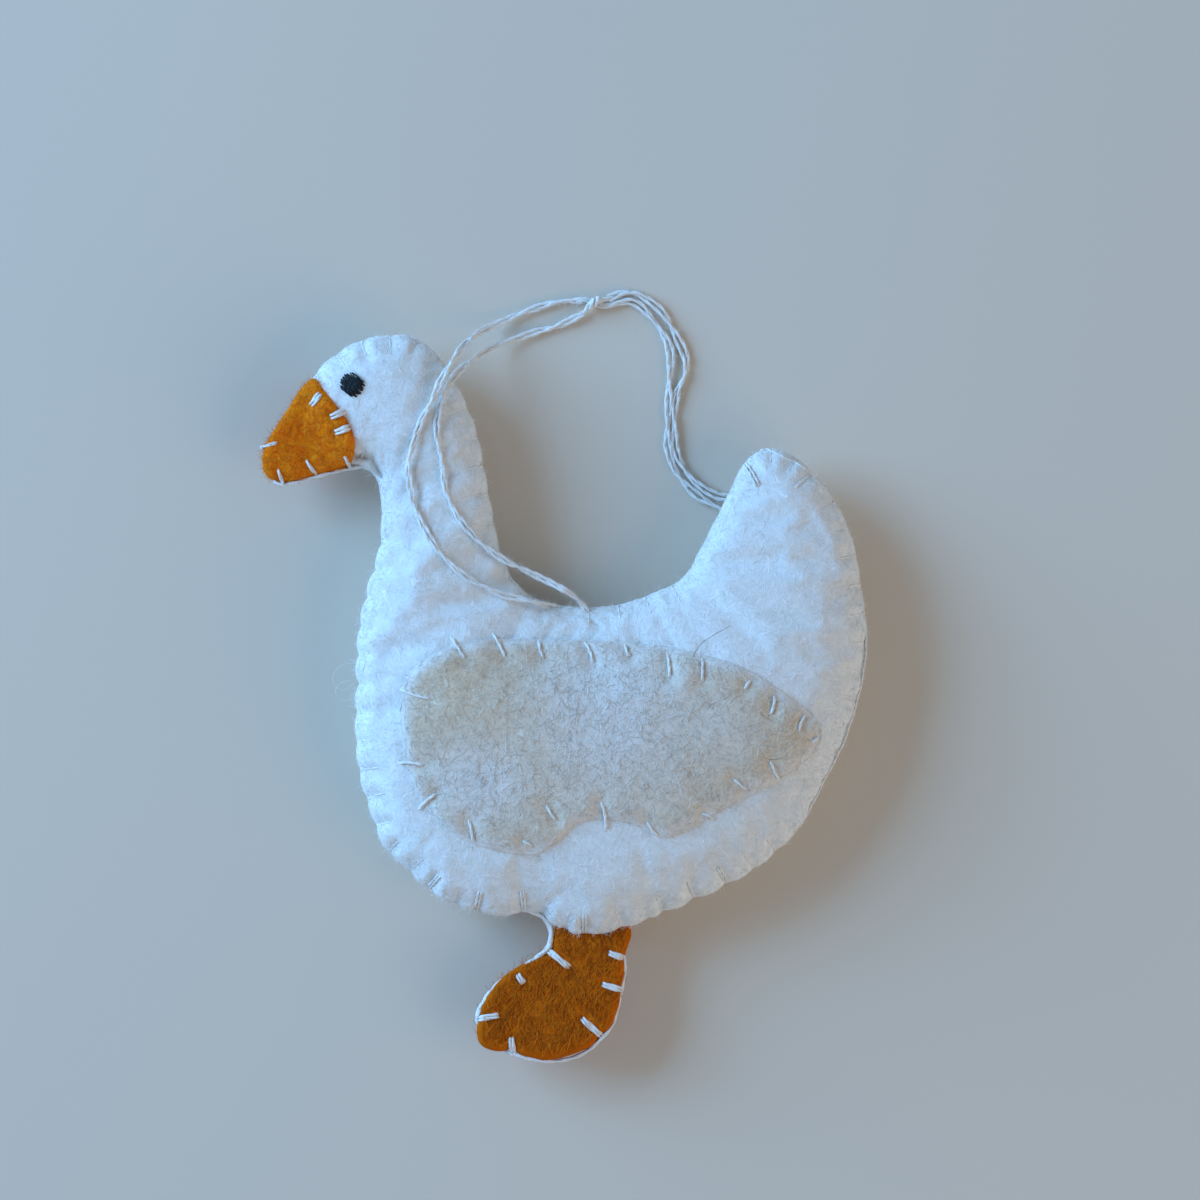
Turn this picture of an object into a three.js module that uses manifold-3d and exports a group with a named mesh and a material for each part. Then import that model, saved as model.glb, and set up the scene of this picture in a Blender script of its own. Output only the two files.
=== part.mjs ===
// Hand-sewn felt goose ornament, lying on its back face with +Z towards the viewer, sizes in millimetres.
// Two felt body panels are stuffed with wool and blanket-stitched round their edge. Felt wings, beak
// halves and a foot are sewn on with cotton thread, and a doubled thread tied in a knot hangs it.
import * as THREE from 'three';
import { mergeVertices } from 'three/addons/utils/BufferGeometryUtils.js';
import Module from 'manifold-3d';

const wasm = await Module();
wasm.setup();

// Driving dimensions shared by several pieces
const FELT = 1.5;
const GAP = 0.3;
const THREAD = 0.65;
const STITCH_SHIFT = 1.3;
const OVERRUN = 2;

// Body panels, their seam and their stuffed swell
const BODY_WIDTH = 83.7;
const BODY_HEIGHT = 89.7;
const SEAM_ALLOWANCE = 3;
const SEAM_PITCH = 6;
const SEAM_BITE = 2.4;
const SCALLOP_DEPTH = 0.35;
const FRONT_SWELL = 4.6;
const BACK_SWELL = 3.6;
const SWELL_REACH = 9;
const PANEL_STEP = 4.5;

// Wing patches
const WING_LENGTH = 62.9;
const WING_WIDTH = 32;
const WING_PITCH = 9.4;
const WING_BITE = 2.2;
const WING_EDGE_PRESS = 0.95;

// Beak halves
const BEAK_LENGTH = 14;
const BEAK_HEIGHT = 15.5;
const BEAK_TAPER = 4;
const BEAK_STEP = 2.4;
const BEAK_BITE = 2;

// Foot layers, their tab in the seam and their thread
const FOOT_LENGTH = 18.6;
const FOOT_WIDTH = 22.7;
const FOOT_PITCH = 4.6;
const FOOT_BITE = 2.3;
const FOOT_THREAD_START = 3;
const TAB_WIDTH = 10.8;
const TAB_DEPTH = 4.2;
const SEAM_SPREAD_FADE = 6;

// Eyes
const EYE_LENGTH = 3.6;
const EYE_WIDTH = 3.2;
const EYE_RIM = 0.3;
const EYE_CROWN = 0.4;
const EYE_STEP = 0.9;

// Hanging thread and its knot
const HANGER_THREAD = 1.1;
const HANGER_STEP = 3.4;
const KNOT_LENGTH = 2.6;
const KNOT_WIDTH = 2.4;

// Working values that follow from the dimensions
const THREAD_RADIUS = THREAD / 2;
const HOLE_RADIUS = THREAD + GAP / 2;
const SEAM_Z = FELT + GAP + FELT + BACK_SWELL + GAP / 2;
const KNUCKLE_RADIUS = FELT + GAP / 2;
const FOOT_PIVOT_Y = -GAP - KNUCKLE_RADIUS;
const PRISM_HEIGHT = 2 * (SEAM_Z + FRONT_SWELL + 2 * FELT + OVERRUN);
const FRONT = 1;
const REAR = -1;

// Outline points, clockwise as the viewer sees them, as shares of each piece's own width and height
const BODY_OUTLINE_SHARES = [
  [0.014, 0.936], [0.043, 0.963], [0.090, 0.990], [0.138, 1.000], [0.190, 0.997], [0.226, 0.972],
  [0.258, 0.931], [0.283, 0.885], [0.303, 0.834], [0.317, 0.768], [0.330, 0.701], [0.344, 0.639],
  [0.366, 0.595], [0.398, 0.564], [0.443, 0.550], [0.505, 0.545], [0.568, 0.552], [0.622, 0.570],
  [0.672, 0.594], [0.703, 0.640], [0.731, 0.691], [0.756, 0.737], [0.787, 0.791], [0.828, 0.811],
  [0.873, 0.796], [0.912, 0.763], [0.950, 0.712], [0.977, 0.651], [0.989, 0.584], [1.000, 0.508],
  [0.995, 0.441], [0.980, 0.378], [0.957, 0.316], [0.925, 0.258], [0.882, 0.182], [0.828, 0.129],
  [0.765, 0.089], [0.694, 0.057], [0.613, 0.027], [0.541, 0.003], [0.478, 0.000], [0.441, 0.015],
  [0.407, 0.035], [0.341, 0.032], [0.272, 0.047], [0.219, 0.072], [0.174, 0.114], [0.138, 0.144],
  [0.115, 0.199], [0.095, 0.258], [0.086, 0.324], [0.086, 0.391], [0.086, 0.467], [0.093, 0.525],
  [0.106, 0.580], [0.125, 0.639], [0.133, 0.692], [0.129, 0.747], [0.116, 0.773], [0.090, 0.783],
  [0.054, 0.796], [0.029, 0.826], [0.007, 0.868], [0.000, 0.905],
];
const WING_OUTLINE_SHARES = [
  [0.000, 0.714], [0.024, 0.845], [0.091, 0.944], [0.186, 0.995], [0.305, 1.000], [0.449, 0.995],
  [0.592, 0.972], [0.723, 0.925], [0.819, 0.859], [0.914, 0.742], [0.979, 0.638], [1.000, 0.549],
  [0.969, 0.446], [0.914, 0.362], [0.831, 0.277], [0.747, 0.192], [0.675, 0.108], [0.616, 0.075],
  [0.558, 0.131], [0.484, 0.160], [0.420, 0.141], [0.377, 0.066], [0.317, 0.000], [0.234, 0.014],
  [0.143, 0.075], [0.072, 0.192], [0.024, 0.338], [0.005, 0.526],
];
const BEAK_OUTLINE_SHARES = [
  [0.559, 1.000], [0.667, 0.883], [0.806, 0.728], [0.946, 0.544], [1.000, 0.340], [0.935, 0.165],
  [0.710, 0.097], [0.462, 0.029], [0.226, 0.000], [0.054, 0.049], [0.000, 0.214], [0.054, 0.388],
  [0.151, 0.534], [0.280, 0.709], [0.409, 0.893],
];
const FOOT_OUTLINE_SHARES = [
  [0.974, 0.863], [0.967, 0.702], [0.947, 0.500], [0.887, 0.298], [0.795, 0.153], [0.642, 0.056],
  [0.444, 0.000], [0.245, 0.056], [0.126, 0.097], [0.026, 0.177], [0.000, 0.339], [0.066, 0.532],
  [0.199, 0.702], [0.377, 0.823], [0.480, 0.880],
];

// Places of the sewn-on pieces, as shares of the body's width and height
const WING_CORNER_SHARE = [0.168, 0.137];
const BEAK_CORNER_SHARE = [-0.082, 0.756];
const EYE_CENTRE_SHARE = [0.079, 0.920];
const FOOT_LEFT_SHARE = 0.305;
const TAB_CENTRE_SHARE = 0.508;
const STUFFING_SPLIT_SHARE = [0.59, 0.55];
const BEAK_WHIP_SHARES = [0.075, 0.145, 0.2];
const BEAK_EDGE_SHARES = [0.36, 0.72];
const HANGER_HOLE_SHARE = [0.516, 0.513];
const HANGER_EXIT_SHARE = [0.448, 0.568];

// The hanging thread's route, x, y and z of hand-chosen points in the same corner frame as the body
const LEG_A_ROUTE = [
  [42.2, 47.6, 11.0], [41.0, 49.4, 10.8], [39.0, 51.1, 10.3], [36.3, 52.7, 9.8], [33.0, 54.4, 10.0],
  [29.5, 56.1, 10.7], [26.1, 58.4, 11.0], [23.5, 61.4, 11.4], [21.4, 65.2, 11.6], [20.3, 69.4, 11.6],
  [19.5, 73.4, 11.4], [19.5, 77.1, 11.2], [20.3, 80.5, 10.9], [21.5, 82.8, 10.1], [23.0, 84.7, 8.4],
  [25.3, 86.8, 5.0], [28.9, 88.7, 1.9], [33.3, 90.3, 0.7], [38.2, 91.9, 0.6], [41.2, 93.4, 0.9],
];
const LEG_B_ROUTE = [
  [37.1, 50.9, 9.4], [34.6, 50.6, 10.6], [31.6, 50.4, 11.1], [28.5, 51.1, 11.6], [25.2, 52.7, 11.8],
  [22.1, 55.0, 12.3], [19.1, 58.3, 12.3], [16.8, 62.6, 11.7], [15.5, 66.9, 11.3], [15.3, 71.2, 11.7],
  [16.3, 75.8, 12.0], [17.9, 80.0, 11.8], [19.9, 84.0, 11.2], [21.1, 86.2, 9.8], [22.8, 88.3, 7.6],
  [25.0, 90.0, 4.2], [28.2, 91.7, 1.5], [32.4, 93.6, 0.7], [36.8, 94.9, 0.6], [41.1, 95.3, 0.9],
];
const LOOP_ROUTE = [
  [45.0, 95.8, 0.8], [47.0, 96.7, 0.6], [49.8, 96.4, 0.6], [52.3, 94.9, 0.6], [54.3, 92.6, 0.6],
  [55.7, 89.8, 0.6], [57.0, 86.9, 0.6], [56.9, 84.2, 0.6], [55.7, 81.8, 0.6], [55.4, 78.9, 0.6],
  [55.4, 75.6, 0.6], [55.5, 72.7, 0.6], [56.8, 70.1, 0.6], [59.0, 67.6, 0.6], [61.8, 66.1, 0.6],
  [64.6, 66.0, 0.6], [67.4, 65.9, 0.6], [69.4, 64.3, 0.6], [69.2, 62.1, 0.6], [67.2, 61.0, 0.6],
  [64.7, 61.9, 0.6], [61.9, 63.7, 0.6], [59.0, 65.2, 0.6], [56.6, 67.2, 0.6], [54.7, 69.6, 0.6],
  [53.9, 72.5, 0.6], [53.8, 75.6, 0.6], [53.9, 79.2, 0.6], [54.0, 82.6, 0.6], [54.2, 85.6, 0.6],
  [54.0, 88.4, 0.6], [52.7, 91.2, 0.6], [50.8, 93.4, 0.6], [48.6, 94.8, 0.6], [46.8, 94.7, 0.7],
  [45.1, 94.1, 0.8],
];
const KNOT_PLACE = [43.1, 94.5, 1.3];

// Materials
const feltIvory = { color: 0xf1ece2, roughness: 0.95, metalness: 0 };
const feltOatmeal = { color: 0xcdbfa9, roughness: 0.95, metalness: 0 };
const feltOrange = { color: 0xc9701c, roughness: 0.95, metalness: 0 };
const cottonWhite = { color: 0xf4efe6, roughness: 0.8, metalness: 0 };
const woolStuffing = { color: 0xf6f2ea, roughness: 1, metalness: 0 };
const threadBlack = { color: 0x16201f, roughness: 0.7, metalness: 0 };

const goose = new THREE.Group();
const corner = (share) => new THREE.Vector2(share[0] * BODY_WIDTH, share[1] * BODY_HEIGHT);

// Adds a finished solid to the ornament under its own name
function addPiece(name, shape, finish) {
  const geometry = shape.isBufferGeometry ? shape : toGeometry(shape);
  const mesh = new THREE.Mesh(geometry, new THREE.MeshStandardMaterial(finish));
  mesh.name = name;
  goose.add(mesh);
  return mesh;
}

// Closed geometry to solid and back, for cutting and joining
function toSolid(geometry) {
  const bare = geometry.clone();
  bare.deleteAttribute('normal');
  bare.deleteAttribute('uv');
  const merged = mergeVertices(bare);
  return new wasm.Manifold(new wasm.Mesh({
    numProp: 3,
    vertProperties: new Float32Array(merged.attributes.position.array),
    triVerts: new Uint32Array(merged.index.array),
  }));
}

function toGeometry(shape) {
  const mesh = shape.getMesh();
  const geometry = new THREE.BufferGeometry();
  geometry.setAttribute('position', new THREE.BufferAttribute(new Float32Array(mesh.vertProperties), 3));
  geometry.setIndex(new THREE.BufferAttribute(new Uint32Array(mesh.triVerts), 1));
  geometry.computeVertexNormals();
  return geometry;
}

function cutAll(shape, cutters) {
  return cutters.reduce((rest, cutter) => rest.subtract(cutter), shape);
}

// A smooth closed outline through its share points, set down at a place
function outlineCurve(shares, width, height, place) {
  const points = shares.map(([x, y]) => new THREE.Vector3(place.x + x * width, place.y + y * height, 0));
  const curve = new THREE.CatmullRomCurve3(points, true, 'centripetal');
  curve.arcLengthDivisions = shares.length * shares.length;
  return curve;
}

// Places along an outline: the point, its outward normal and the direction of travel
function placeOn(curve, share) {
  const wrapped = share - Math.floor(share);
  const along = curve.getTangentAt(wrapped);
  const point = curve.getPointAt(wrapped);
  return { point, along, outward: new THREE.Vector3(-along.y, along.x, 0) };
}

function polygonOf(curve, count, notchDepth) {
  const points = [];
  for (let i = 0; i < count; i += 1) {
    const { point, outward } = placeOn(curve, i / count);
    point.addScaledVector(outward, i % 2 === 0 ? -notchDepth : 0);
    points.push(new THREE.Vector2(point.x, point.y));
  }
  return points;
}

function prism(points) {
  const outline = new THREE.Shape(points);
  const geometry = new THREE.ExtrudeGeometry(outline, { depth: PRISM_HEIGHT, bevelEnabled: false });
  geometry.translate(0, 0, SEAM_Z - PRISM_HEIGHT / 2);
  return toSolid(geometry);
}

function boxBetween(low, high) {
  const size = high.clone().sub(low);
  const geometry = new THREE.BoxGeometry(size.x, size.y, size.z);
  geometry.translate(low.x + size.x / 2, low.y + size.y / 2, low.z + size.z / 2);
  return toSolid(geometry);
}

// Body outline with one scallop to each seam stitch
const bodyCurve = outlineCurve(BODY_OUTLINE_SHARES, BODY_WIDTH, BODY_HEIGHT, new THREE.Vector2());
const seamCount = Math.round(bodyCurve.getLength() / SEAM_PITCH);
const bodyPolygon = polygonOf(bodyCurve, seamCount * 2, SCALLOP_DEPTH);
const bodyPrism = prism(bodyPolygon);

function isInside(polygon, x, y) {
  let inside = false;
  polygon.forEach((a, i) => {
    const b = polygon[(i + 1) % polygon.length];
    const crosses = (a.y > y) !== (b.y > y);
    if (crosses && x < a.x + ((y - a.y) * (b.x - a.x)) / (b.y - a.y)) inside = !inside;
  });
  return inside;
}

function edgeDistance(polygon, x, y) {
  const spot = new THREE.Vector3(x, y, 0);
  const line = new THREE.Line3();
  const nearest = new THREE.Vector3();
  return Math.min(...polygon.map((a, i) => {
    const b = polygon[(i + 1) % polygon.length];
    line.start.set(a.x, a.y, 0);
    line.end.set(b.x, b.y, 0);
    return line.closestPointToPoint(spot, true, nearest).distanceTo(spot);
  }));
}

// The swell of a stuffed bag: a membrane held at the seam line and pushed out evenly, with a reach past
// which it stops rising, solved on a grid twice as fine as the panels' own
function solveSwell() {
  const margin = 2 * PANEL_STEP;
  const step = PANEL_STEP / 2;
  const columns = Math.ceil((BODY_WIDTH + 2 * margin) / step);
  const rows = Math.ceil((BODY_HEIGHT + 2 * margin) / step);
  const free = [];
  for (let j = 0; j <= rows; j += 1) {
    for (let i = 0; i <= columns; i += 1) {
      const x = i * step - margin;
      const y = j * step - margin;
      const held = !isInside(bodyPolygon, x, y) || edgeDistance(bodyPolygon, x, y) < SEAM_ALLOWANCE;
      if (!held) free.push(j * (columns + 1) + i);
    }
  }
  const height = new Float64Array((columns + 1) * (rows + 1));
  const load = (step / SWELL_REACH) ** 2;
  const rounds = 3 * (columns + rows);
  for (let round = 0; round < rounds; round += 1) {
    free.forEach((k) => {
      const around = height[k - 1] + height[k + 1] + height[k - columns - 1] + height[k + columns + 1];
      height[k] = (around + load) / (4 + load);
    });
  }
  const highest = height.reduce((a, b) => Math.max(a, b), 0);
  return { margin, columns, share: (i, j) => Math.sqrt(height[2 * j * (columns + 1) + 2 * i] / highest) };
}

const swell = solveSwell();
const gridColumns = Math.floor(swell.columns / 2);
const gridRows = Math.floor((BODY_HEIGHT + 2 * swell.margin) / PANEL_STEP);
const tabCentreX = TAB_CENTRE_SHARE * BODY_WIDTH;

// The seam opens round the foot's tab and closes again on either side
function seamSpread(x, y) {
  const fade = (distance) => THREE.MathUtils.clamp(1 - distance / SEAM_SPREAD_FADE, 0, 1);
  const across = fade(Math.abs(x - tabCentreX) - TAB_WIDTH / 2 - PANEL_STEP);
  const up = fade(y - SEAM_ALLOWANCE - PANEL_STEP);
  return (FELT / 2 + GAP / 2) * across * up;
}

// How far a panel's inner face stands off the seam plane, at each grid point and linear in between
function gridLift(side, i, j) {
  const x = i * PANEL_STEP - swell.margin;
  const y = j * PANEL_STEP - swell.margin;
  const rise = FRONT_SWELL * swell.share(i, j);
  return GAP / 2 + seamSpread(x, y) + (side === FRONT ? rise : Math.min(rise, BACK_SWELL));
}

function panelLift(side, x, y) {
  const u = (x + swell.margin) / PANEL_STEP;
  const v = (y + swell.margin) / PANEL_STEP;
  const i = THREE.MathUtils.clamp(Math.floor(u), 0, gridColumns - 1);
  const j = THREE.MathUtils.clamp(Math.floor(v), 0, gridRows - 1);
  const [du, dv] = [u - i, v - j];
  const low = gridLift(side, i, j);
  const high = gridLift(side, i + 1, j + 1);
  const mid = du > dv ? gridLift(side, i + 1, j) : gridLift(side, i, j + 1);
  const [first, second] = du > dv ? [du, dv] : [dv, du];
  return low + first * (mid - low) + second * (high - mid);
}

// A sheet between two height functions over a block of a square grid, with closed sides
function gridSheet(firstX, firstY, columns, rows, step, lower, upper) {
  const positions = [];
  const index = [];
  const stride = columns + 1;
  const count = stride * (rows + 1);
  [upper, lower].forEach((height) => {
    for (let j = 0; j <= rows; j += 1) {
      for (let i = 0; i <= columns; i += 1) {
        const x = firstX + i * step;
        const y = firstY + j * step;
        positions.push(x, y, height(x, y));
      }
    }
  });
  for (let j = 0; j < rows; j += 1) {
    for (let i = 0; i < columns; i += 1) {
      const a = j * stride + i;
      const [b, c, d] = [a + 1, a + stride + 1, a + stride];
      index.push(a, b, c, a, c, d);
      index.push(count + a, count + c, count + b, count + a, count + d, count + c);
    }
  }
  const side = (a, b) => index.push(a, count + a, count + b, a, count + b, b);
  for (let i = 0; i < columns; i += 1) {
    side(i, i + 1);
    side(rows * stride + i + 1, rows * stride + i);
  }
  for (let j = 0; j < rows; j += 1) {
    side((j + 1) * stride, j * stride);
    side(j * stride + columns, (j + 1) * stride + columns);
  }
  const geometry = new THREE.BufferGeometry();
  geometry.setAttribute('position', new THREE.Float32BufferAttribute(positions, 3));
  geometry.setIndex(index);
  return toSolid(geometry);
}

// A sheet on one side of the seam plane, from one stand-off to another, on the panels' grid
function bodySheet(side, near, far) {
  const z = (lift) => (x, y) => SEAM_Z + side * lift(x, y);
  const [lower, upper] = side === FRONT ? [z(near), z(far)] : [z(far), z(near)];
  return gridSheet(-swell.margin, -swell.margin, gridColumns, gridRows, PANEL_STEP, lower, upper);
}

// The same on a finer grid over the box of a small outline
function fineSheet(polygon, step, side, near, far) {
  const box = new THREE.Box2().setFromPoints(polygon).expandByScalar(step);
  const size = box.getSize(new THREE.Vector2());
  const z = (lift) => (x, y) => SEAM_Z + side * lift(x, y);
  const [lower, upper] = side === FRONT ? [z(near), z(far)] : [z(far), z(near)];
  const columns = Math.ceil(size.x / step);
  const rows = Math.ceil(size.y / step);
  return gridSheet(box.min.x, box.min.y, columns, rows, step, lower, upper);
}

// Thread: a square-laid strand through given turning points, one ring at each of them
class ThreadRoute extends THREE.Curve {
  constructor(points) {
    super();
    this.points = points;
  }

  getPoint(share, target = new THREE.Vector3()) {
    const last = this.points.length - 1;
    const place = share * last;
    const index = Math.min(Math.floor(place), last - 1);
    return target.lerpVectors(this.points[index], this.points[index + 1], place - index);
  }

  getPointAt(share, target) {
    return this.getPoint(share, target);
  }

  getTangentAt(share, target = new THREE.Vector3()) {
    const last = this.points.length - 1;
    const index = Math.round(share * last);
    const before = new THREE.Vector3();
    const after = new THREE.Vector3();
    if (index > 0) before.subVectors(this.points[index], this.points[index - 1]).normalize();
    if (index < last) after.subVectors(this.points[index + 1], this.points[index]).normalize();
    return target.addVectors(before, after).normalize();
  }
}

function strand(route, steps, diameter, sides) {
  const circle = new THREE.EllipseCurve(0, 0, diameter / 2, diameter / 2);
  const section = new THREE.Shape(circle.getPoints(sides).slice(1));
  return new THREE.ExtrudeGeometry(section, { steps, extrudePath: route, bevelEnabled: false });
}

function sewnStrand(points) {
  return strand(new ThreadRoute(points), points.length - 1, THREAD, 4);
}

const at = (point, z) => new THREE.Vector3(point.x, point.y, z);
const between = (a, b) => a.clone().add(b).multiplyScalar(1 / 2);
const moved = (place, out, along = 0) => place.point.clone()
  .addScaledVector(place.outward, out).addScaledVector(place.along, along);

// A three-sided needle hole through the felt, turned to the stitch
function needleHole(point, outward, fromZ, toZ) {
  const height = Math.abs(toZ - fromZ) + 2 * GAP;
  const geometry = new THREE.CylinderGeometry(HOLE_RADIUS, HOLE_RADIUS, height, 3);
  geometry.rotateX(Math.PI / 2);
  geometry.rotateZ(Math.atan2(outward.y, outward.x));
  geometry.translate(point.x, point.y, (fromZ + toZ) / 2);
  return toSolid(geometry);
}

// Stitches over an edge: up over the edge, down through the hole, back along the rear and on along the
// edge. A stitch marked through stays inside the edge, where another layer fills the seam.
function edgeStitches(places, bite, frontZ, rearZ, midZ) {
  const points = [];
  const holes = [];
  const stand = GAP + THREAD_RADIUS;
  places.forEach((place, i) => {
    const inner = moved(place, -bite);
    holes.push(needleHole(inner, place.outward, rearZ(inner), frontZ(inner)));
    const wraps = !place.through;
    const outer = moved(place, wraps ? stand : -HOLE_RADIUS - GAP);
    if (!wraps) holes.push(needleHole(outer, place.outward, rearZ(outer), frontZ(outer)));
    const fromEdge = wraps && (i === 0 || !places[i - 1].through);
    if (!fromEdge) {
      const halfway = between(points[points.length - 1], outer);
      points.push(at(halfway, rearZ(halfway)));
    }
    points.push(at(outer, fromEdge ? midZ : rearZ(outer)), at(outer, frontZ(outer)));
    points.push(at(inner, frontZ(inner)), at(inner, rearZ(inner)));
    const toEdge = wraps && (i === places.length - 1 || !places[i + 1].through);
    if (toEdge) {
      const next = moved(place, stand, STITCH_SHIFT);
      points.push(at(next, rearZ(next)), at(next, midZ));
    }
  });
  return { points, holes };
}

// The body's seam thread, from the beak's top round to the chin, passing the tab inside the edge
const seamTop = (side) => ({ x, y }) => (
  SEAM_Z + side * (panelLift(side, x, y) + FELT + GAP + THREAD_RADIUS)
);
const beakPlace = corner(BEAK_CORNER_SHARE);
const beakCurve = outlineCurve(BEAK_OUTLINE_SHARES, BEAK_LENGTH, BEAK_HEIGHT, beakPlace);
const beakPolygon = polygonOf(beakCurve, Math.round(beakCurve.getLength() / BEAK_STEP), 0);

function seamPlaces() {
  const places = [];
  for (let i = 0; i < seamCount; i += 1) {
    const place = placeOn(bodyCurve, i / seamCount);
    const { x, y } = place.point;
    const clearOfBeak = !isInside(beakPolygon, x, y) && edgeDistance(beakPolygon, x, y) > STITCH_SHIFT;
    place.through = y < SEAM_ALLOWANCE && Math.abs(x - tabCentreX) < TAB_WIDTH / 2 + STITCH_SHIFT;
    if (clearOfBeak) places.push(place);
  }
  return places;
}

const seam = edgeStitches(seamPlaces(), SEAM_BITE, seamTop(FRONT), seamTop(REAR), SEAM_Z);
addPiece('body_seam_thread', sewnStrand(seam.points), cottonWhite);

// Wing patches with their whip stitches. The tight thread presses the patch's edge band thinner, so it
// lies level with the patch's middle, and the hidden strands run between the panel and the stuffing.
const wingCurve = outlineCurve(WING_OUTLINE_SHARES, WING_LENGTH, WING_WIDTH, corner(WING_CORNER_SHARE));
const wingPolygon = polygonOf(wingCurve, 2 * WING_OUTLINE_SHARES.length, 0);
const wingStitchCount = Math.round(wingCurve.getLength() / WING_PITCH);
const lift = (side, extra) => (x, y) => panelLift(side, x, y) + extra;

function wingFace(side) {
  const band = WING_BITE + PANEL_STEP;
  return (x, y) => {
    const depth = isInside(wingPolygon, x, y) ? edgeDistance(wingPolygon, x, y) : 0;
    const pressed = 1 - THREE.MathUtils.clamp((depth - band) / PANEL_STEP, 0, 1);
    return panelLift(side, x, y) + 2 * FELT + GAP - WING_EDGE_PRESS * pressed;
  };
}

function wingStitches(side) {
  const points = [];
  const holes = [];
  const stand = 2 * FELT + 2 * GAP + THREAD_RADIUS - WING_EDGE_PRESS;
  const top = (point) => SEAM_Z + side * (panelLift(side, point.x, point.y) + stand);
  const under = (point) => SEAM_Z + side * (panelLift(side, point.x, point.y) - GAP - THREAD_RADIUS);
  for (let i = 0; i < wingStitchCount; i += 1) {
    const place = placeOn(wingCurve, i / wingStitchCount);
    const outer = moved(place, HOLE_RADIUS);
    const inner = moved(place, -WING_BITE);
    if (panelLift(side, outer.x, outer.y) > THREAD + 2 * GAP) {
      const halfway = between(points.length > 0 ? points[points.length - 1] : outer, outer);
      points.push(at(halfway, under(halfway)), at(outer, under(outer)), at(outer, top(place.point)));
      points.push(at(inner, top(inner)), at(inner, under(inner)));
      holes.push(needleHole(outer, place.outward, under(outer), top(outer)));
      holes.push(needleHole(inner, place.outward, under(inner), top(inner)));
    }
  }
  return { points: points.slice(1), holes };
}

function sewWing(side, word) {
  const stitches = wingStitches(side);
  const sheet = bodySheet(side, lift(side, FELT + GAP), wingFace(side));
  addPiece(`wing_patch_${word}`, cutAll(sheet.intersect(prism(wingPolygon)), stitches.holes), feltOatmeal);
  addPiece(`wing_thread_${word}`, sewnStrand(stitches.points), cottonWhite);
  return stitches.holes;
}

const wingHoles = { [FRONT]: sewWing(FRONT, 'front'), [REAR]: sewWing(REAR, 'back') };

// Beak halves: they lie over the head panels and close on each other towards the tip
function beakLift(side, extra) {
  return (x, y) => {
    const past = isInside(bodyPolygon, x, y) ? 0 : edgeDistance(bodyPolygon, x, y);
    const closed = THREE.MathUtils.smoothstep(past, 2 * GAP, BEAK_TAPER);
    return panelLift(side, x, y) + (FELT + GAP) * (1 - closed) + extra;
  };
}

const beakTop = (side) => (point) => {
  const stand = beakLift(side, FELT + GAP + THREAD_RADIUS)(point.x, point.y);
  return SEAM_Z + side * stand;
};

function beakPlaces(first, last, count) {
  const places = [];
  for (let i = 0; i < count; i += 1) {
    places.push(placeOn(beakCurve, first + ((last - first) * i) / (count - 1)));
  }
  return places;
}

const beakEdgeLength = (BEAK_EDGE_SHARES[1] - BEAK_EDGE_SHARES[0]) * beakCurve.getLength();
const beakEdgePlaces = beakPlaces(...BEAK_EDGE_SHARES, 1 + Math.round(beakEdgeLength / SEAM_PITCH));
const beakEdge = edgeStitches(beakEdgePlaces, BEAK_BITE, beakTop(FRONT), beakTop(REAR), SEAM_Z);
addPiece('beak_edge_thread', sewnStrand(beakEdge.points), cottonWhite);

function beakWhipStitches() {
  const points = [];
  const holes = [];
  BEAK_WHIP_SHARES.forEach((share) => {
    const place = placeOn(beakCurve, share);
    const outer = moved(place, HOLE_RADIUS);
    const inner = moved(place, -BEAK_BITE);
    [outer, inner].forEach((point) => {
      holes.push(needleHole(point, place.outward, beakTop(REAR)(point), beakTop(FRONT)(point)));
    });
    points.push(at(outer, beakTop(REAR)(outer)), at(outer, beakTop(FRONT)(outer)));
    points.push(at(inner, beakTop(FRONT)(inner)), at(inner, beakTop(REAR)(inner)));
  });
  return { points, holes };
}

const beakWhip = beakWhipStitches();
const beakHoles = beakEdge.holes.concat(beakWhip.holes);
addPiece('beak_seam_thread', sewnStrand(beakWhip.points), cottonWhite);

function cutBeakHalf(side, word) {
  const sheet = fineSheet(beakPolygon, BEAK_STEP, side, beakLift(side, 0), beakLift(side, FELT));
  addPiece(`beak_patch_${word}`, cutAll(sheet.intersect(prism(beakPolygon)), beakHoles), feltOrange);
}

cutBeakHalf(FRONT, 'front');
cutBeakHalf(REAR, 'back');

// Eyes: small satin-stitched pads, one on each side of the head
function sewEye(side, word) {
  const centre = corner(EYE_CENTRE_SHARE);
  const outline = new THREE.EllipseCurve(centre.x, centre.y, EYE_LENGTH / 2, EYE_WIDTH / 2);
  const rim = outline.getPoints(12).slice(1);
  const offCentre = (x, y) => Math.hypot(2 * (x - centre.x) / EYE_LENGTH, 2 * (y - centre.y) / EYE_WIDTH);
  const near = lift(side, FELT + GAP);
  const far = (x, y) => near(x, y) + EYE_RIM + EYE_CROWN * Math.max(0, 1 - offCentre(x, y) ** 2);
  const pad = fineSheet(rim, EYE_STEP, side, near, far).intersect(prism(rim));
  addPiece(`eye_stitch_${word}`, pad, threadBlack);
}

sewEye(FRONT, 'front');
sewEye(REAR, 'back');

// Foot: two felt layers with a rounded upper end that turns about the belly seam, and the tab that the
// seam holds
const footLeft = FOOT_LEFT_SHARE * BODY_WIDTH;
const footPlace = new THREE.Vector2(footLeft, -GAP - FOOT_LENGTH);
const footCurve = new THREE.CatmullRomCurve3(
  FOOT_OUTLINE_SHARES.map(([x, y]) => (
    new THREE.Vector3(footPlace.x + x * FOOT_WIDTH, footPlace.y + y * FOOT_LENGTH, 0)
  )),
  false,
  'centripetal',
);

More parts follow.
